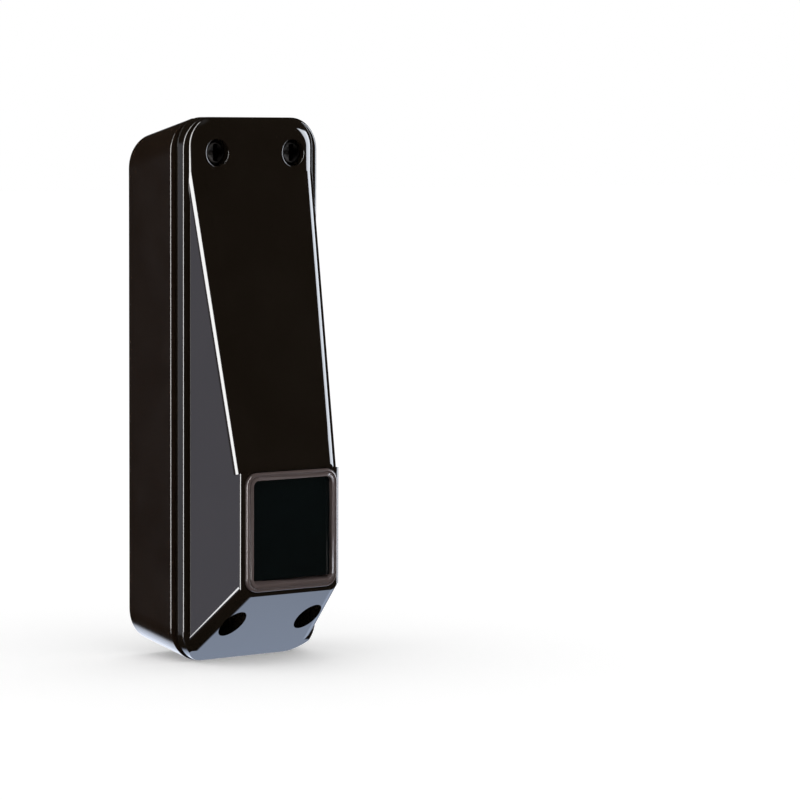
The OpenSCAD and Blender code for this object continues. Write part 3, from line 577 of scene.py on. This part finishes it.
def add_strip(shape, points, width, back_y, front_y, finish):
    """Flat strip that follows a line of x and z points on a board that faces forward."""
    points = [Vector(point) for point in points]
    rings = []
    for i, point in enumerate(points):
        before = (point - points[i - 1]).normalized() if i else None
        after = (points[i + 1] - point).normalized() if i < len(points) - 1 else None
        along = ((before or after) + (after or before)).normalized()
        side = Vector((-along.y, along.x))
        lean = max(side.dot(Vector((-(after or before).y, (after or before).x))), STRIP_LEAN)
        reach = side * (width / 2 / lean)
        left, right = point + reach, point - reach
        corners = ((left, back_y), (left, front_y), (right, front_y), (right, back_y))
        rings.append([shape.verts.new((spot.x, depth, spot.y)) for spot, depth in corners])
    join_rings(shape, rings, finish)


SHARP_ANGLE = math.radians(32)


def finish_piece(name, shape, finish_names, body, replaced=()):
    """Object from a shape, smooth but for its sharp edges, riding on its body."""
    bmesh.ops.recalc_face_normals(shape, faces=shape.faces)
    mesh = bpy.data.meshes.new(name)
    shape.to_mesh(mesh)
    shape.free()
    for finish in finish_names:
        mesh.materials.append(finishes[finish])
    for face in mesh.polygons:
        face.use_smooth = True
    mesh.set_sharp_from_angle(angle=SHARP_ANGLE)
    piece = bpy.data.objects.new(name, mesh)
    bpy.context.scene.collection.objects.link(piece)
    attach(piece, body)
    if replaced:
        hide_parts(*replaced)


THREAD_PITCH = 1.3 * MM
# Radius at the thread's root, as a share of the shank's, and half the ridge's share of a pitch
THREAD_ROOT_SHARE = 0.72
RIDGE_HALF_SHARE = 0.28
THREAD_STEPS = 28
ROWS_PER_PITCH = 8
# A point of a screw further out than this share of its radius belongs to its head
HEAD_SHARE = 0.7
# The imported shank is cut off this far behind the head, and the new one starts inside the head
SHANK_CUT = 0.05 * MM
SHANK_OVERLAP = 0.2 * MM
# Turns over which the tip narrows, and the share of the radius left at its end
TIP_TURNS = 1.5
TIP_SHARE = 0.12


def thread_cover_screw(node):
    """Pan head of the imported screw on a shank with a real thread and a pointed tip."""
    low, high, middle = node_box(node)
    head_radius = (high.x - low.x) / 2
    shape = weld_node(node)

    def reach(vert):
        return math.hypot(vert.co.x - middle.x, vert.co.z - middle.z)

    head_back = max(vert.co.y for vert in shape.verts if reach(vert) > HEAD_SHARE * head_radius)
    shank = max(reach(vert) for vert in shape.verts if vert.co.y > head_back + 2 * THREAD_PITCH)
    behind = [vert for vert in shape.verts if vert.co.y > head_back + SHANK_CUT]
    bmesh.ops.delete(shape, geom=behind, context="VERTS")
    open_rim = [edge for edge in shape.edges if edge.is_boundary]
    bmesh.ops.holes_fill(shape, edges=open_rim, sides=0)
    root = shank * THREAD_ROOT_SHARE
    start = head_back - SHANK_OVERLAP
    length = high.y - start
    rows = int(length / THREAD_PITCH * ROWS_PER_PITCH)
    rings = []
    for row in range(rows + 1):
        run = length * row / rows
        left = (length - run) / THREAD_PITCH
        taper = min(1.0, TIP_SHARE + (1 - TIP_SHARE) * left / TIP_TURNS)
        ring = []
        for i in range(THREAD_STEPS):
            share = i / THREAD_STEPS
            phase = (run / THREAD_PITCH - share) % 1.0
            ridge = max(0.0, 1.0 - abs(phase - 0.5) / RIDGE_HALF_SHARE)
            radius = (root + (shank - root) * ridge) * taper
            turn = 2 * math.pi * share
            ring.append(shape.verts.new((
                middle.x + radius * math.cos(turn), start + run, middle.z + radius * math.sin(turn))))
        rings.append(ring)
    join_rings(shape, rings)
    finish_piece("threaded_" + node, shape, ["cover_screw_steel"], node, [node])


# Points this close to the depth of a face lie on it
FACE_TOLERANCE = 0.01 * MM
# Channel in the face of the window ring: its distance from the edge of the face, its depth, its
# width at the mouth, and the lean of each of its sides
CHANNEL_OFFSET = 0.06 * MM
CHANNEL_DEPTH = 0.3 * MM
CHANNEL_WIDTH = 0.42 * MM
CHANNEL_LEAN = 0.05 * MM


def loops_at(shape, depth):
    """Open edge loops of a shape at one depth, each as its points in order."""
    edges = [
        edge for edge in shape.edges
        if edge.is_boundary and all(abs(vert.co.y - depth) < FACE_TOLERANCE for vert in edge.verts)
    ]
    loops = []
    while edges:
        edge = edges.pop(0)
        loop = [edge.verts[0], edge.verts[1]]
        while True:
            following = [line for line in loop[-1].link_edges if line in edges]
            if not following:
                break
            edges.remove(following[0])
            loop.append(following[0].other_vert(loop[-1]))
        if loop[0] is loop[-1]:
            loop.pop()
        loops.append(loop)
    return loops


def inward_sides(loop, middle):
    """Step from each point of a loop that moves both its edges inward by one."""
    steps = []
    for before, vert, after in zip(loop[-1:] + loop[:-1], loop, loop[1:] + loop[:1]):
        normals = []
        for first, second in ((before, vert), (vert, after)):
            along = (second.co - first.co).normalized()
            across = Vector((-along.z, 0, along.x))
            normals.append(across if across.dot(middle - vert.co) > 0 else -across)
        mean = (normals[0] + normals[1]).normalized()
        steps.append(mean / mean.dot(normals[0]))
    return steps


def channel_window_ring():
    """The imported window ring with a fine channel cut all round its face."""
    low, _, middle = node_box("window_ring")
    shape = weld_node("window_ring")
    face = [
        part for part in shape.faces
        if all(abs(vert.co.y - low.y) < FACE_TOLERANCE for vert in part.verts)
    ]
    bmesh.ops.delete(shape, geom=face, context="FACES")

    def width(loop):
        return max(vert.co.x for vert in loop) - min(vert.co.x for vert in loop)

    outer, inner = sorted(loops_at(shape, low.y), key=width, reverse=True)[:2]
    inward = inward_sides(outer, middle)
    rings = [outer]
    for offset, depth in (
        (CHANNEL_OFFSET, 0),
        (CHANNEL_OFFSET + CHANNEL_LEAN, CHANNEL_DEPTH),
        (CHANNEL_OFFSET + CHANNEL_WIDTH - CHANNEL_LEAN, CHANNEL_DEPTH),
        (CHANNEL_OFFSET + CHANNEL_WIDTH, 0),
    ):
        rings.append([
            shape.verts.new(vert.co + step * offset + Vector((0, depth, 0)))
            for vert, step in zip(outer, inward)
        ])
    join_rings(shape, rings, closed=False)
    rims = [
        shape.edges.get(pair)
        for loop in (rings[-1], inner) for pair in zip(loop, loop[1:] + loop[:1])
    ]
    bmesh.ops.triangle_fill(shape, use_beauty=True, use_dissolve=False, edges=rims, normal=(0, -1, 0))
    finish_piece(
        "channelled_window_ring", shape, ["ring_plastic"], "cover", ["window_ring"])


# Whether each cell stands with its button up
CELLS = {"battery_left": True, "battery_right": False}
# Recess of the seal below the sleeve's lip, the coloured band's share of the cell's length, and
# the button's rise and radius, as shares of the cell's diameter and radius
SEAL_DEPTH = 0.35 * MM
BAND_SHARE = 0.24
BUTTON_RISE_SHARE = 0.09
BUTTON_SHARE = 0.38


def wrap_cell(node, button_up):
    """Round cell with a printed sleeve in two plain colours, bare ends, crimp and button."""
    low, high, middle = node_box(node)
    radius = (high.x - low.x) / 2
    end = (high.z - low.z) / 2
    button = BUTTON_SHARE * radius
    shoulder = end - BUTTON_RISE_SHARE * 2 * radius
    band_foot = shoulder - BAND_SHARE * 2 * end
    bare, sleeve, band, seal = range(4)
    # From the flat end to the button: distance from the axis, run, finish of what follows
    profile = [
        (0, -end + 0.4 * MM, bare), (0.55 * radius, -end + 0.4 * MM, bare),
        (0.6 * radius, -end, bare), (0.86 * radius, -end, sleeve),
        (0.95 * radius, -end + 0.05 * MM, sleeve), (radius, -end + 0.6 * MM, sleeve),
        (radius, band_foot, band), (radius, shoulder - 1.6 * MM, band),
        (0.985 * radius, shoulder - 0.5 * MM, band), (0.93 * radius, shoulder, band),
        (0.84 * radius, shoulder, bare), (0.82 * radius, shoulder - SEAL_DEPTH, seal),
        (0.62 * radius, shoulder - SEAL_DEPTH, bare), (0.6 * radius, shoulder, bare),
        (button * 1.25, shoulder, bare), (button, shoulder + 0.3 * MM, bare),
        (button, end - 0.25 * MM, bare), (button - 0.3 * MM, end, bare), (0, end, bare),
    ]
    shape = bmesh.new()
    add_turned(shape, profile, middle, (0, 0, 1 if button_up else -1), steps=64)
    finish_piece(
        "wrapped_" + node, shape, ["contact_metal", "cell_can", "cell_band", "cell_seal"],
        "housing", [node])


# Half width of a contact plate, as a share of the cell's radius, the rounding of its edges, and
# the share of the gap beside the cell that its thickness takes
PLATE_WIDTH_SHARE = 0.6
PLATE_EDGE = 0.08 * MM
PLATE_SHARE = 0.35
# Flattened spring: its turns, the points in each, its first radius and its narrowing as shares of
# the cell's radius, and its depth as a share of its width
SPRING_TURNS = 3.25
SPRING_STEPS = 26
SPRING_START = 0.56
SPRING_NARROWING = 0.36
SPRING_SQUASH = 0.9
# Dimple that meets a button: radius, and height as a share of the room beside the plate
DIMPLE = ((0, 0), (1.5 * MM, 0), (1.4 * MM, 0.5), (1.0 * MM, 0.9), (0, 0.95))


def form_cell_contacts():
    """Contact plates: a dimple at each button, and a spring pressed flat at each bare end."""
    low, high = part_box("battery_contacts")
    shape = bmesh.new()
    for node, button_up in CELLS.items():
        cell_low, cell_high, cell = node_box(node)
        radius = (cell_high.x - cell_low.x) / 2
        width = PLATE_WIDTH_SHARE * radius
        ends = ((True, high.z, cell_high.z, -1), (False, low.z, cell_low.z, 1))
        for up, outer, inner, toward in ends:
            gap = abs(outer - inner)
            plate = outer + toward * gap * PLATE_SHARE
            room = gap * (1 - PLATE_SHARE)
            add_block(
                shape,
                (cell.x - width, low.y, min(outer, plate)),
                (cell.x + width, high.y, max(outer, plate)),
                edge=PLATE_EDGE)
            if up == button_up:
                profile = [(reach, room * rise, 0) for reach, rise in DIMPLE]
                add_turned(shape, profile, (cell.x, cell.y, plate), (0, 0, toward), steps=28)
                continue
            wire = room / 2
            count = int(SPRING_TURNS * SPRING_STEPS)
            points = []
            for i in range(count + 1):
                share = i / count
                turn = 2 * math.pi * SPRING_TURNS * share
                away = radius * (SPRING_START - SPRING_NARROWING * share)
                points.append((
                    cell.x + away * math.cos(turn),
                    cell.y + away * SPRING_SQUASH * math.sin(turn),
                    plate + toward * wire))
            add_wire(shape, points, wire)
    finish_piece(
        "cell_contacts", shape, ["contact_metal"], "housing", ["battery_contacts"])


# Finishes of the board's own details
TRACK, PAD, INK = range(3)
TRACK_RISE = 0.04 * MM
TRACK_WIDTH = 0.34 * MM
PAD_RADIUS = 0.42 * MM
# How far pads and printed rings reach into the board
BOARD_BITE = 0.01 * MM
# Section of a pad with its solder: share of its radius, and rise above the board
PAD_SECTION = (
    (0.45, -BOARD_BITE), (1.0, -BOARD_BITE), (1.0, 0.05 * MM),
    (0.8, 0.09 * MM), (0.5, 0.09 * MM), (0.45, -BOARD_BITE),
)


def lay_bundle(shape, count, corners=(), pad=None, width=TRACK_WIDTH, radius=PAD_RADIUS):
    """Like tracks side by side under the board's coat, and their tinned pads. Corners and pad each
    give x, then its offset and its step from track to track in millimetres, then the same of z."""
    face = board_face()
    profile = [(share * radius, rise, PAD) for share, rise in PAD_SECTION]

    def spot(i, x, right, step_x, z, up, step_z):
        return x + (right + i * step_x) * MM, z + (up + i * step_z) * MM

    for i in range(count):
        if corners:
            points = [spot(i, *corner) for corner in corners]
            add_strip(shape, points, width, face + TRACK_RISE, face - TRACK_RISE, TRACK)
        if pad:
            x, z = spot(i, *pad)
            add_turned(shape, profile, (x, face, z), (0, -1, 0), steps=20)


def lay_tracks(shape):
    """Bundles of tracks, each from one part of the board to the next."""
    low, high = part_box("circuit_board")
    chip_low, _, chip = node_box("controller_chip")
    radio_low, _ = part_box("radio_module")
    cap_low, cap_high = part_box("storage_capacitor")
    row_low, row_high, row = node_box("resistors")
    switch_low, switch_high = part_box("selector_switch")
    _, block_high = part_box("terminal_block")
    # From the chip's legs down to pads above the switch
    end = (switch_low.x, 0, 1.1, switch_high.z, 1.2, 0.5)
    lay_bundle(shape, count=6, corners=[
        (chip_low.x, 0, 0, chip.z, -3.81, 1.27),
        (chip_low.x, -0.3, -0.432, chip.z, -3.81, 1.27),
        (chip_low.x, -0.3, -0.432, switch_high.z, 2.0, 0.5),
        (chip_low.x, 0.5, -0.432, switch_high.z, 1.2, 0.5),
        end,
    ], pad=end)
    # Behind the capacitor, each from a pad below it
    start = (cap_low.x, 1.2, 2.2, cap_low.z, -1.2, 0)
    lay_bundle(shape, count=5, corners=[
        start,
        (cap_low.x, 1.2, 2.2, cap_high.z, 0.9, 0.55),
        (cap_low.x, 2.2, 2.2, cap_high.z, 1.9, 0.55),
        (cap_low.x, 2.2, 2.2, cap_high.z, 4.1, 0.55),
    ], pad=start)
    # From the radio module down to the terminals
    lay_bundle(shape, count=4, corners=[
        (radio_low.x, 1.4, 1.5, radio_low.z, 0, 0),
        (radio_low.x, 1.4, 1.5, block_high.z, 2.4, 0),
        (radio_low.x, 0.4, 1.5, block_high.z, 1.4, 0),
        (radio_low.x, 0.4, 1.5, block_high.z, 1.0, 0),
    ], pad=(radio_low.x, 1.4, 1.5, radio_low.z, -0.8, 0), width=1.5 * TRACK_WIDTH, radius=0.55 * MM)
    # From the lower and the upper ends of the resistors
    for z, away, bend in ((row_low.z, -1.0, -1.7), (row_high.z, 1.1, 1.8)):
        lay_bundle(shape, count=3, corners=[
            (row.x, -2.4, 2.4, z, 0, 0), (row.x, -2.4, 2.4, z, away, 0), (row.x, -1.7, 2.4, z, bend, 0)])
    # Wide supply tracks up both sides, each with a row of pads
    for side in (-1, 1):
        edge, inset = side * high.x, -side * 1.3
        lay_bundle(shape, count=1, corners=[
            (edge, inset, 0, low.z, 6.0, 0), (edge, inset, 0, chip_low.z, -2.0, 0),
        ], width=3 * TRACK_WIDTH)
        lay_bundle(shape, count=5, pad=(edge, inset, 0, low.z, 7.0, 3.1), radius=0.4 * MM)


INK_RISE = 0.02 * MM
INK_WIDTH = 0.16 * MM
# Distance of the printed lines from the parts they go round
INK_FRAME_GAP = 0.45 * MM
INK_RING_GAP = 0.4 * MM


def print_outlines(shape):
    """White lines round the larger parts: frames round the square ones, rings round the others."""
    face = board_face()
    for node in ("controller_chip", "radio_module", "terminal_block", "selector_switch", "resistors"):
        low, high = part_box(node)
        x0, x1 = low.x - INK_FRAME_GAP, high.x + INK_FRAME_GAP
        z0, z1 = low.z - INK_FRAME_GAP, high.z + INK_FRAME_GAP
        corners = [(x0, z0), (x1, z0), (x1, z1), (x0, z1)]
        for ends in zip(corners, corners[1:] + corners[:1]):
            add_strip(shape, ends, INK_WIDTH, face + INK_RISE, face - INK_RISE, INK)
    for node in ("storage_capacitor", "status_light"):
        low, high, middle = node_box(node)
        inner = (high.x - low.x) / 2 + INK_RING_GAP
        outer = inner + INK_WIDTH
        section = (
            (inner, -BOARD_BITE), (outer, -BOARD_BITE), (outer, INK_RISE), (inner, INK_RISE),
            (inner, -BOARD_BITE))
        profile = [(radius, rise, INK) for radius, rise in section]
        add_turned(shape, profile, (middle.x, face, middle.z), (0, -1, 0), steps=48)


def detail_board():
    """Copper tracks under the green coat, tinned pads with holes, and white outlines."""
    shape = bmesh.new()
    lay_tracks(shape)
    print_outlines(shape)
    finish_piece(
        "board_tracks", shape, ["board_track", "contact_metal", "board_ink"],
        "housing")


LEADS_A_SIDE = 7
LEAD_PITCH = 1.27 * MM
# Room for the legs beside the chip's body, the gap under the body, and the taper of its sides
LEG_ROOM = 1.3 * MM
BODY_GAP = 0.2 * MM
BODY_TAPER = 0.12 * MM
# Half sections of a leg across its line and along the chip's side
LEG_HALF_T = 0.09 * MM
LEG_HALF_W = 0.2 * MM
# Solder under a leg's foot: distances of its ends from the body, rise above the board, bite into
# it and half width
SOLDER_REACH = (0.72 * MM, 1.3 * MM)
SOLDER_RISE = 0.05 * MM
SOLDER_BITE = 0.02 * MM
SOLDER_HALF_W = 0.28 * MM
PIN_MARK_INSET = 0.9 * MM
# Section of the pin mark: distance from its middle, run out of the chip's face, finish
PIN_MARK = (
    (0, 0.02 * MM, 0), (0.35 * MM, 0.02 * MM, 0), (0.45 * MM, 0, 0),
    (0.5 * MM, -0.05 * MM, 0), (0, -0.05 * MM, 0),
)


def build_chip():
    """Chip with tapered sides, a pin mark, and legs that bend down to their solder."""
    low, high, middle = node_box("controller_chip")
    face = board_face()
    shape = bmesh.new()
    x0, x1 = low.x + LEG_ROOM, high.x - LEG_ROOM
    back, front = high.y - BODY_GAP, low.y
    half = (back + front) / 2
    rings = []
    for depth, gap in ((back, BODY_TAPER), (half, 0.0), (front, BODY_TAPER)):
        corners = (
            (x0 + gap, low.z + gap), (x1 - gap, low.z + gap),
            (x1 - gap, high.z - gap), (x0 + gap, high.z - gap))
        rings.append([shape.verts.new((x, depth, z)) for x, z in corners])
    join_rings(shape, rings)
    mark = (x0 + PIN_MARK_INSET, front, high.z - PIN_MARK_INSET)
    add_turned(shape, PIN_MARK, mark, (0, -1, 0), steps=20)
    # Each leg as its distance from the body and its depth
    line = (
        (-0.1 * MM, half), (0.38 * MM, half), (0.62 * MM, half + 0.3 * MM),
        (0.72 * MM, face - 0.16 * MM), (0.8 * MM, face - 0.1 * MM), (1.28 * MM, face - 0.1 * MM))
    section = (
        (-LEG_HALF_T, -LEG_HALF_W), (LEG_HALF_T, -LEG_HALF_W),
        (LEG_HALF_T, LEG_HALF_W), (-LEG_HALF_T, LEG_HALF_W))
    for side, edge in ((-1, x0), (1, x1)):
        solder = sorted(edge + side * away for away in SOLDER_REACH)
        for i in range(LEADS_A_SIDE):
            z = middle.z + (i - (LEADS_A_SIDE - 1) / 2) * LEAD_PITCH
            rings = [
                [shape.verts.new((edge + side * away, y + dy, z + dz)) for dy, dz in section]
                for away, y in line
            ]
            join_rings(shape, rings, 1)
            add_block(
                shape,
                (solder[0], face - SOLDER_RISE, z - SOLDER_HALF_W),
                (solder[1], face + SOLDER_BITE, z + SOLDER_HALF_W), 1)
    finish_piece(
        "leaded_chip", shape, ["chip_plastic", "contact_metal"],
        "housing", ["controller_chip"])


RADIO_BOARD_T = 0.8 * MM
# Shielding can: its margin on the module's board, its upper end above the module's lower one, and
# the section and place of the pips at its corners
CAN_MARGIN = 0.8 * MM
CAN_TOP = 9.2 * MM
CAN_PIP = ((0, 0), (0.35 * MM, 0), (0.45 * MM, -0.03 * MM), (0, -0.03 * MM))
CAN_PIP_INSET = 1.2 * MM
# Track aerial: its folds, width and side margin, the distances of its two ends from the module's
# top, and the length of its feed
AERIAL_STEPS = 7
AERIAL_WIDTH = 0.35 * MM
AERIAL_MARGIN = 1.0 * MM
AERIAL_BOTTOM = 2.9 * MM
AERIAL_TOP = 0.7 * MM
AERIAL_FEED = 0.4 * MM
EDGE_PADS = 6
EDGE_PAD_START = 1.2 * MM
EDGE_PAD_PITCH = 1.5 * MM
EDGE_PAD_REACH = 0.45 * MM
EDGE_PAD_HALF_H = 0.35 * MM
EDGE_PAD_PROUD = 0.03 * MM


def build_radio():
    """Radio module: its own blue board with edge pads and a track aerial, and a folded can."""
    low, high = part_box("radio_module")
    face = board_face()
    top = face - RADIO_BOARD_T
    board, can, pad = range(3)
    shape = bmesh.new()
    add_block(shape, (low.x, top, low.z), (high.x, face, high.z), board, 0.08 * MM)
    can_low = Vector((low.x + CAN_MARGIN, low.y, low.z + CAN_MARGIN))
    can_high = Vector((high.x - CAN_MARGIN, top, low.z + CAN_TOP))
    add_block(shape, can_low, can_high, can, 0.25 * MM)
    pip = [(radius, rise, can) for radius, rise in CAN_PIP]
    for x in (can_low.x + CAN_PIP_INSET, can_high.x - CAN_PIP_INSET):
        for z in (can_low.z + CAN_PIP_INSET, can_high.z - CAN_PIP_INSET):
            add_turned(shape, pip, (x, low.y - MICRON, z), (0, -1, 0), steps=16)
    step = (high.x - low.x - 2 * AERIAL_MARGIN) / AERIAL_STEPS
    ends = (high.z - AERIAL_BOTTOM, high.z - AERIAL_TOP)
    points = [(low.x + AERIAL_MARGIN, ends[0] - AERIAL_FEED)]
    for i in range(AERIAL_STEPS + 1):
        x = low.x + AERIAL_MARGIN + i * step
        first, second = ends if i % 2 == 0 else reversed(ends)
        points += [(x, first), (x, second)]
    add_strip(
        shape, list(dict.fromkeys(points)), AERIAL_WIDTH, top + 0.01 * MM, top - 0.04 * MM, pad)
    for i in range(EDGE_PADS):
        z = low.z + EDGE_PAD_START + i * EDGE_PAD_PITCH
        for x0, x1 in ((low.x - EDGE_PAD_PROUD, low.x + EDGE_PAD_REACH),
                       (high.x - EDGE_PAD_REACH, high.x + EDGE_PAD_PROUD)):
            add_block(
                shape, (x0, top - 0.02 * MM, z - EDGE_PAD_HALF_H), (x1, face, z + EDGE_PAD_HALF_H), pad)
    finish_piece(
        "radio_board", shape, ["radio_laminate", "radio_can", "gold_pad"],
        "housing", ["radio_module"])


# Angles of the three lines scored in the capacitor's top, in degrees
SCORE_ANGLES = (30, 150, 270)
SCORE_MARGIN = 1.0 * MM
SCORE_WIDTH = 0.22 * MM
# Depth of the bare top below the sleeve's lip
TOP_DEPTH = 0.25 * MM


def build_capacitor():
    """Can capacitor in its sleeve, with a crimp groove and a scored bare top."""
    low, high, middle = node_box("storage_capacitor")
    radius = (high.x - low.x) / 2
    face = board_face()
    rise = face - low.y
    crimp = radius - 0.3 * MM
    sleeve, bare, rubber = range(3)
    shape = bmesh.new()
    # From the board to the top: distance from the axis, rise, finish of what follows
    add_turned(shape, [
        (0, 0, rubber), (radius * 0.94, 0, rubber),
        (radius * 0.94, 0.3 * MM, sleeve), (radius * 0.985, 0.4 * MM, sleeve),
        (radius, 0.7 * MM, sleeve), (radius, 1.0 * MM, sleeve),
        (crimp, 1.3 * MM, sleeve), (crimp, 1.5 * MM, sleeve),
        (radius, 1.8 * MM, sleeve), (radius, rise - 0.45 * MM, sleeve),
        (radius - 0.12 * MM, rise - 0.1 * MM, sleeve), (radius - 0.45 * MM, rise, sleeve),
        (radius - 0.7 * MM, rise - 0.06 * MM, bare), (radius - 0.9 * MM, rise - TOP_DEPTH, bare),
        (0, rise - TOP_DEPTH, bare),
    ], (middle.x, face, middle.z), (0, -1, 0), steps=56)
    top = face - rise + TOP_DEPTH
    away = radius - SCORE_MARGIN
    for angle in map(math.radians, SCORE_ANGLES):
        end = (middle.x + away * math.cos(angle), middle.z + away * math.sin(angle))
        add_strip(
            shape, [(middle.x, middle.z), end], SCORE_WIDTH, top + 0.02 * MM, top - 0.03 * MM, bare)
    finish_piece(
        "sleeved_capacitor", shape, ["capacitor_sleeve", "contact_metal", "seal_rubber"],
        "housing", ["storage_capacitor"])


RESISTORS = 3
RESISTOR_PITCH = 2.4 * MM
RESISTOR_HALF_W = 0.78 * MM
# Insets of the ceramic and of the glaze on it from the row's box, and the depth of the glaze
CERAMIC_FRONT = 0.06 * MM
CERAMIC_END = 0.1 * MM
GLAZE_SIDE = 0.05 * MM
GLAZE_FRONT = 0.03 * MM
GLAZE_BACK = 0.2 * MM
GLAZE_END = 0.55 * MM
TIN_LENGTH = 0.5 * MM
TIN_PROUD = 0.03 * MM


def build_resistors():
    """Chip resistors: white ceramic with a black glaze on top and tinned ends on solder."""
    low, high, middle = node_box("resistors")
    face = board_face()
    ceramic, glaze, tin = range(3)
    half = RESISTOR_HALF_W
    shape = bmesh.new()
    for i in range(RESISTORS):
        x = middle.x + (i - (RESISTORS - 1) / 2) * RESISTOR_PITCH
        add_block(
            shape, (x - half, low.y + CERAMIC_FRONT, low.z + CERAMIC_END),
            (x + half, face, high.z - CERAMIC_END), ceramic, 0.04 * MM)
        add_block(
            shape, (x - half + GLAZE_SIDE, low.y + GLAZE_FRONT, low.z + GLAZE_END),
            (x + half - GLAZE_SIDE, low.y + GLAZE_BACK, high.z - GLAZE_END), glaze, 0.05 * MM)
        for z0, z1 in ((low.z, low.z + TIN_LENGTH), (high.z - TIN_LENGTH, high.z)):
            add_block(
                shape, (x - half - TIN_PROUD, low.y, z0), (x + half + TIN_PROUD, face, z1),
                tin, 0.08 * MM)
    finish_piece(
        "chip_resistors", shape, ["white_ceramic", "resistor_ceramic", "contact_metal"],
        "housing", ["resistors"])


CAGE_WALL = 0.22 * MM
CAGE_HALF_W = 1.5 * MM
CAGE_EDGE = 0.05 * MM
# Depths of the cage's back and front, as shares of the terminal block's rise
CAGE_BACK_SHARE = 0.12
CAGE_FRONT_SHARE = 0.5
CAGE_FOOT = 0.7 * MM
CAGE_TOP = 5.0 * MM
# Ridges across the cage's floor that grip the wire
RIDGES = 3
RIDGE_START = 1.0 * MM
RIDGE_PITCH = 0.9 * MM
RIDGE_REACH = 1.2 * MM
RIDGE_W = 0.3 * MM
RIDGE_RISE = 0.12 * MM


def line_terminals():
    """Metal cages in the two wire entries of the terminal block."""
    low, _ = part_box("terminal_block")
    face = board_face()
    rise = face - low.y
    back, front = face - CAGE_BACK_SHARE * rise, face - CAGE_FRONT_SHARE * rise
    z0, z1 = low.z + CAGE_FOOT, low.z + CAGE_TOP
    floor = back - CAGE_WALL
    shape = bmesh.new()
    for node in ("terminal_screw_left", "terminal_screw_right"):
        x = node_box(node)[2].x
        left, right = x - CAGE_HALF_W, x + CAGE_HALF_W
        for x0, x1, near in (
            (left, left + CAGE_WALL, front), (right - CAGE_WALL, right, front), (left, right, floor),
        ):
            add_block(shape, (x0, near, z0), (x1, back, z1), 0, CAGE_EDGE)
        for i in range(RIDGES):
            z = z0 + RIDGE_START + i * RIDGE_PITCH
            add_block(
                shape, (x - RIDGE_REACH, floor - RIDGE_RISE, z), (x + RIDGE_REACH, floor, z + RIDGE_W),
                0, CAGE_EDGE)
    finish_piece("terminal_cages", shape, ["contact_metal"], "housing")


MARK_ARM = 1.0 * MM
MARK_STROKE = 0.32 * MM
MARK_RISE = 0.16 * MM
MARK_INSET = 0.62 * MM
MARK_BITE = 0.05 * MM
MARK_EDGE = 0.04 * MM


def mark_polarity():
    """Raised plus and minus marks moulded on the front edge of the battery holder's ends."""
    low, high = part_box("battery_holder")
    shape = bmesh.new()
    level, upright = (MARK_ARM / 2, MARK_STROKE / 2), (MARK_STROKE / 2, MARK_ARM / 2)
    for node, button_up in CELLS.items():
        x = node_box(node)[2].x
        for up, z in ((True, high.z - MARK_INSET), (False, low.z + MARK_INSET)):
            for half_x, half_z in (level, upright) if up == button_up else (level,):
                add_block(
                    shape, (x - half_x, low.y - MARK_RISE, z - half_z),
                    (x + half_x, low.y + MARK_BITE, z + half_z), 0, MARK_EDGE)
    finish_piece("polarity_marks", shape, ["holder_plastic"], "housing")


finish_nodes()
for corner in ("top_left", "top_right", "bottom_left", "bottom_right"):
    thread_cover_screw("cover_screw_" + corner)
channel_window_ring()
for cell, button_up in CELLS.items():
    wrap_cell(cell, button_up)
for build in (form_cell_contacts, detail_board, build_chip, build_radio, build_capacitor,
              build_resistors, line_terminals, mark_polarity):
    build()

place_camera()
light_surround()
lay_floor()

bpy.context.scene.view_settings.view_transform = "Standard"
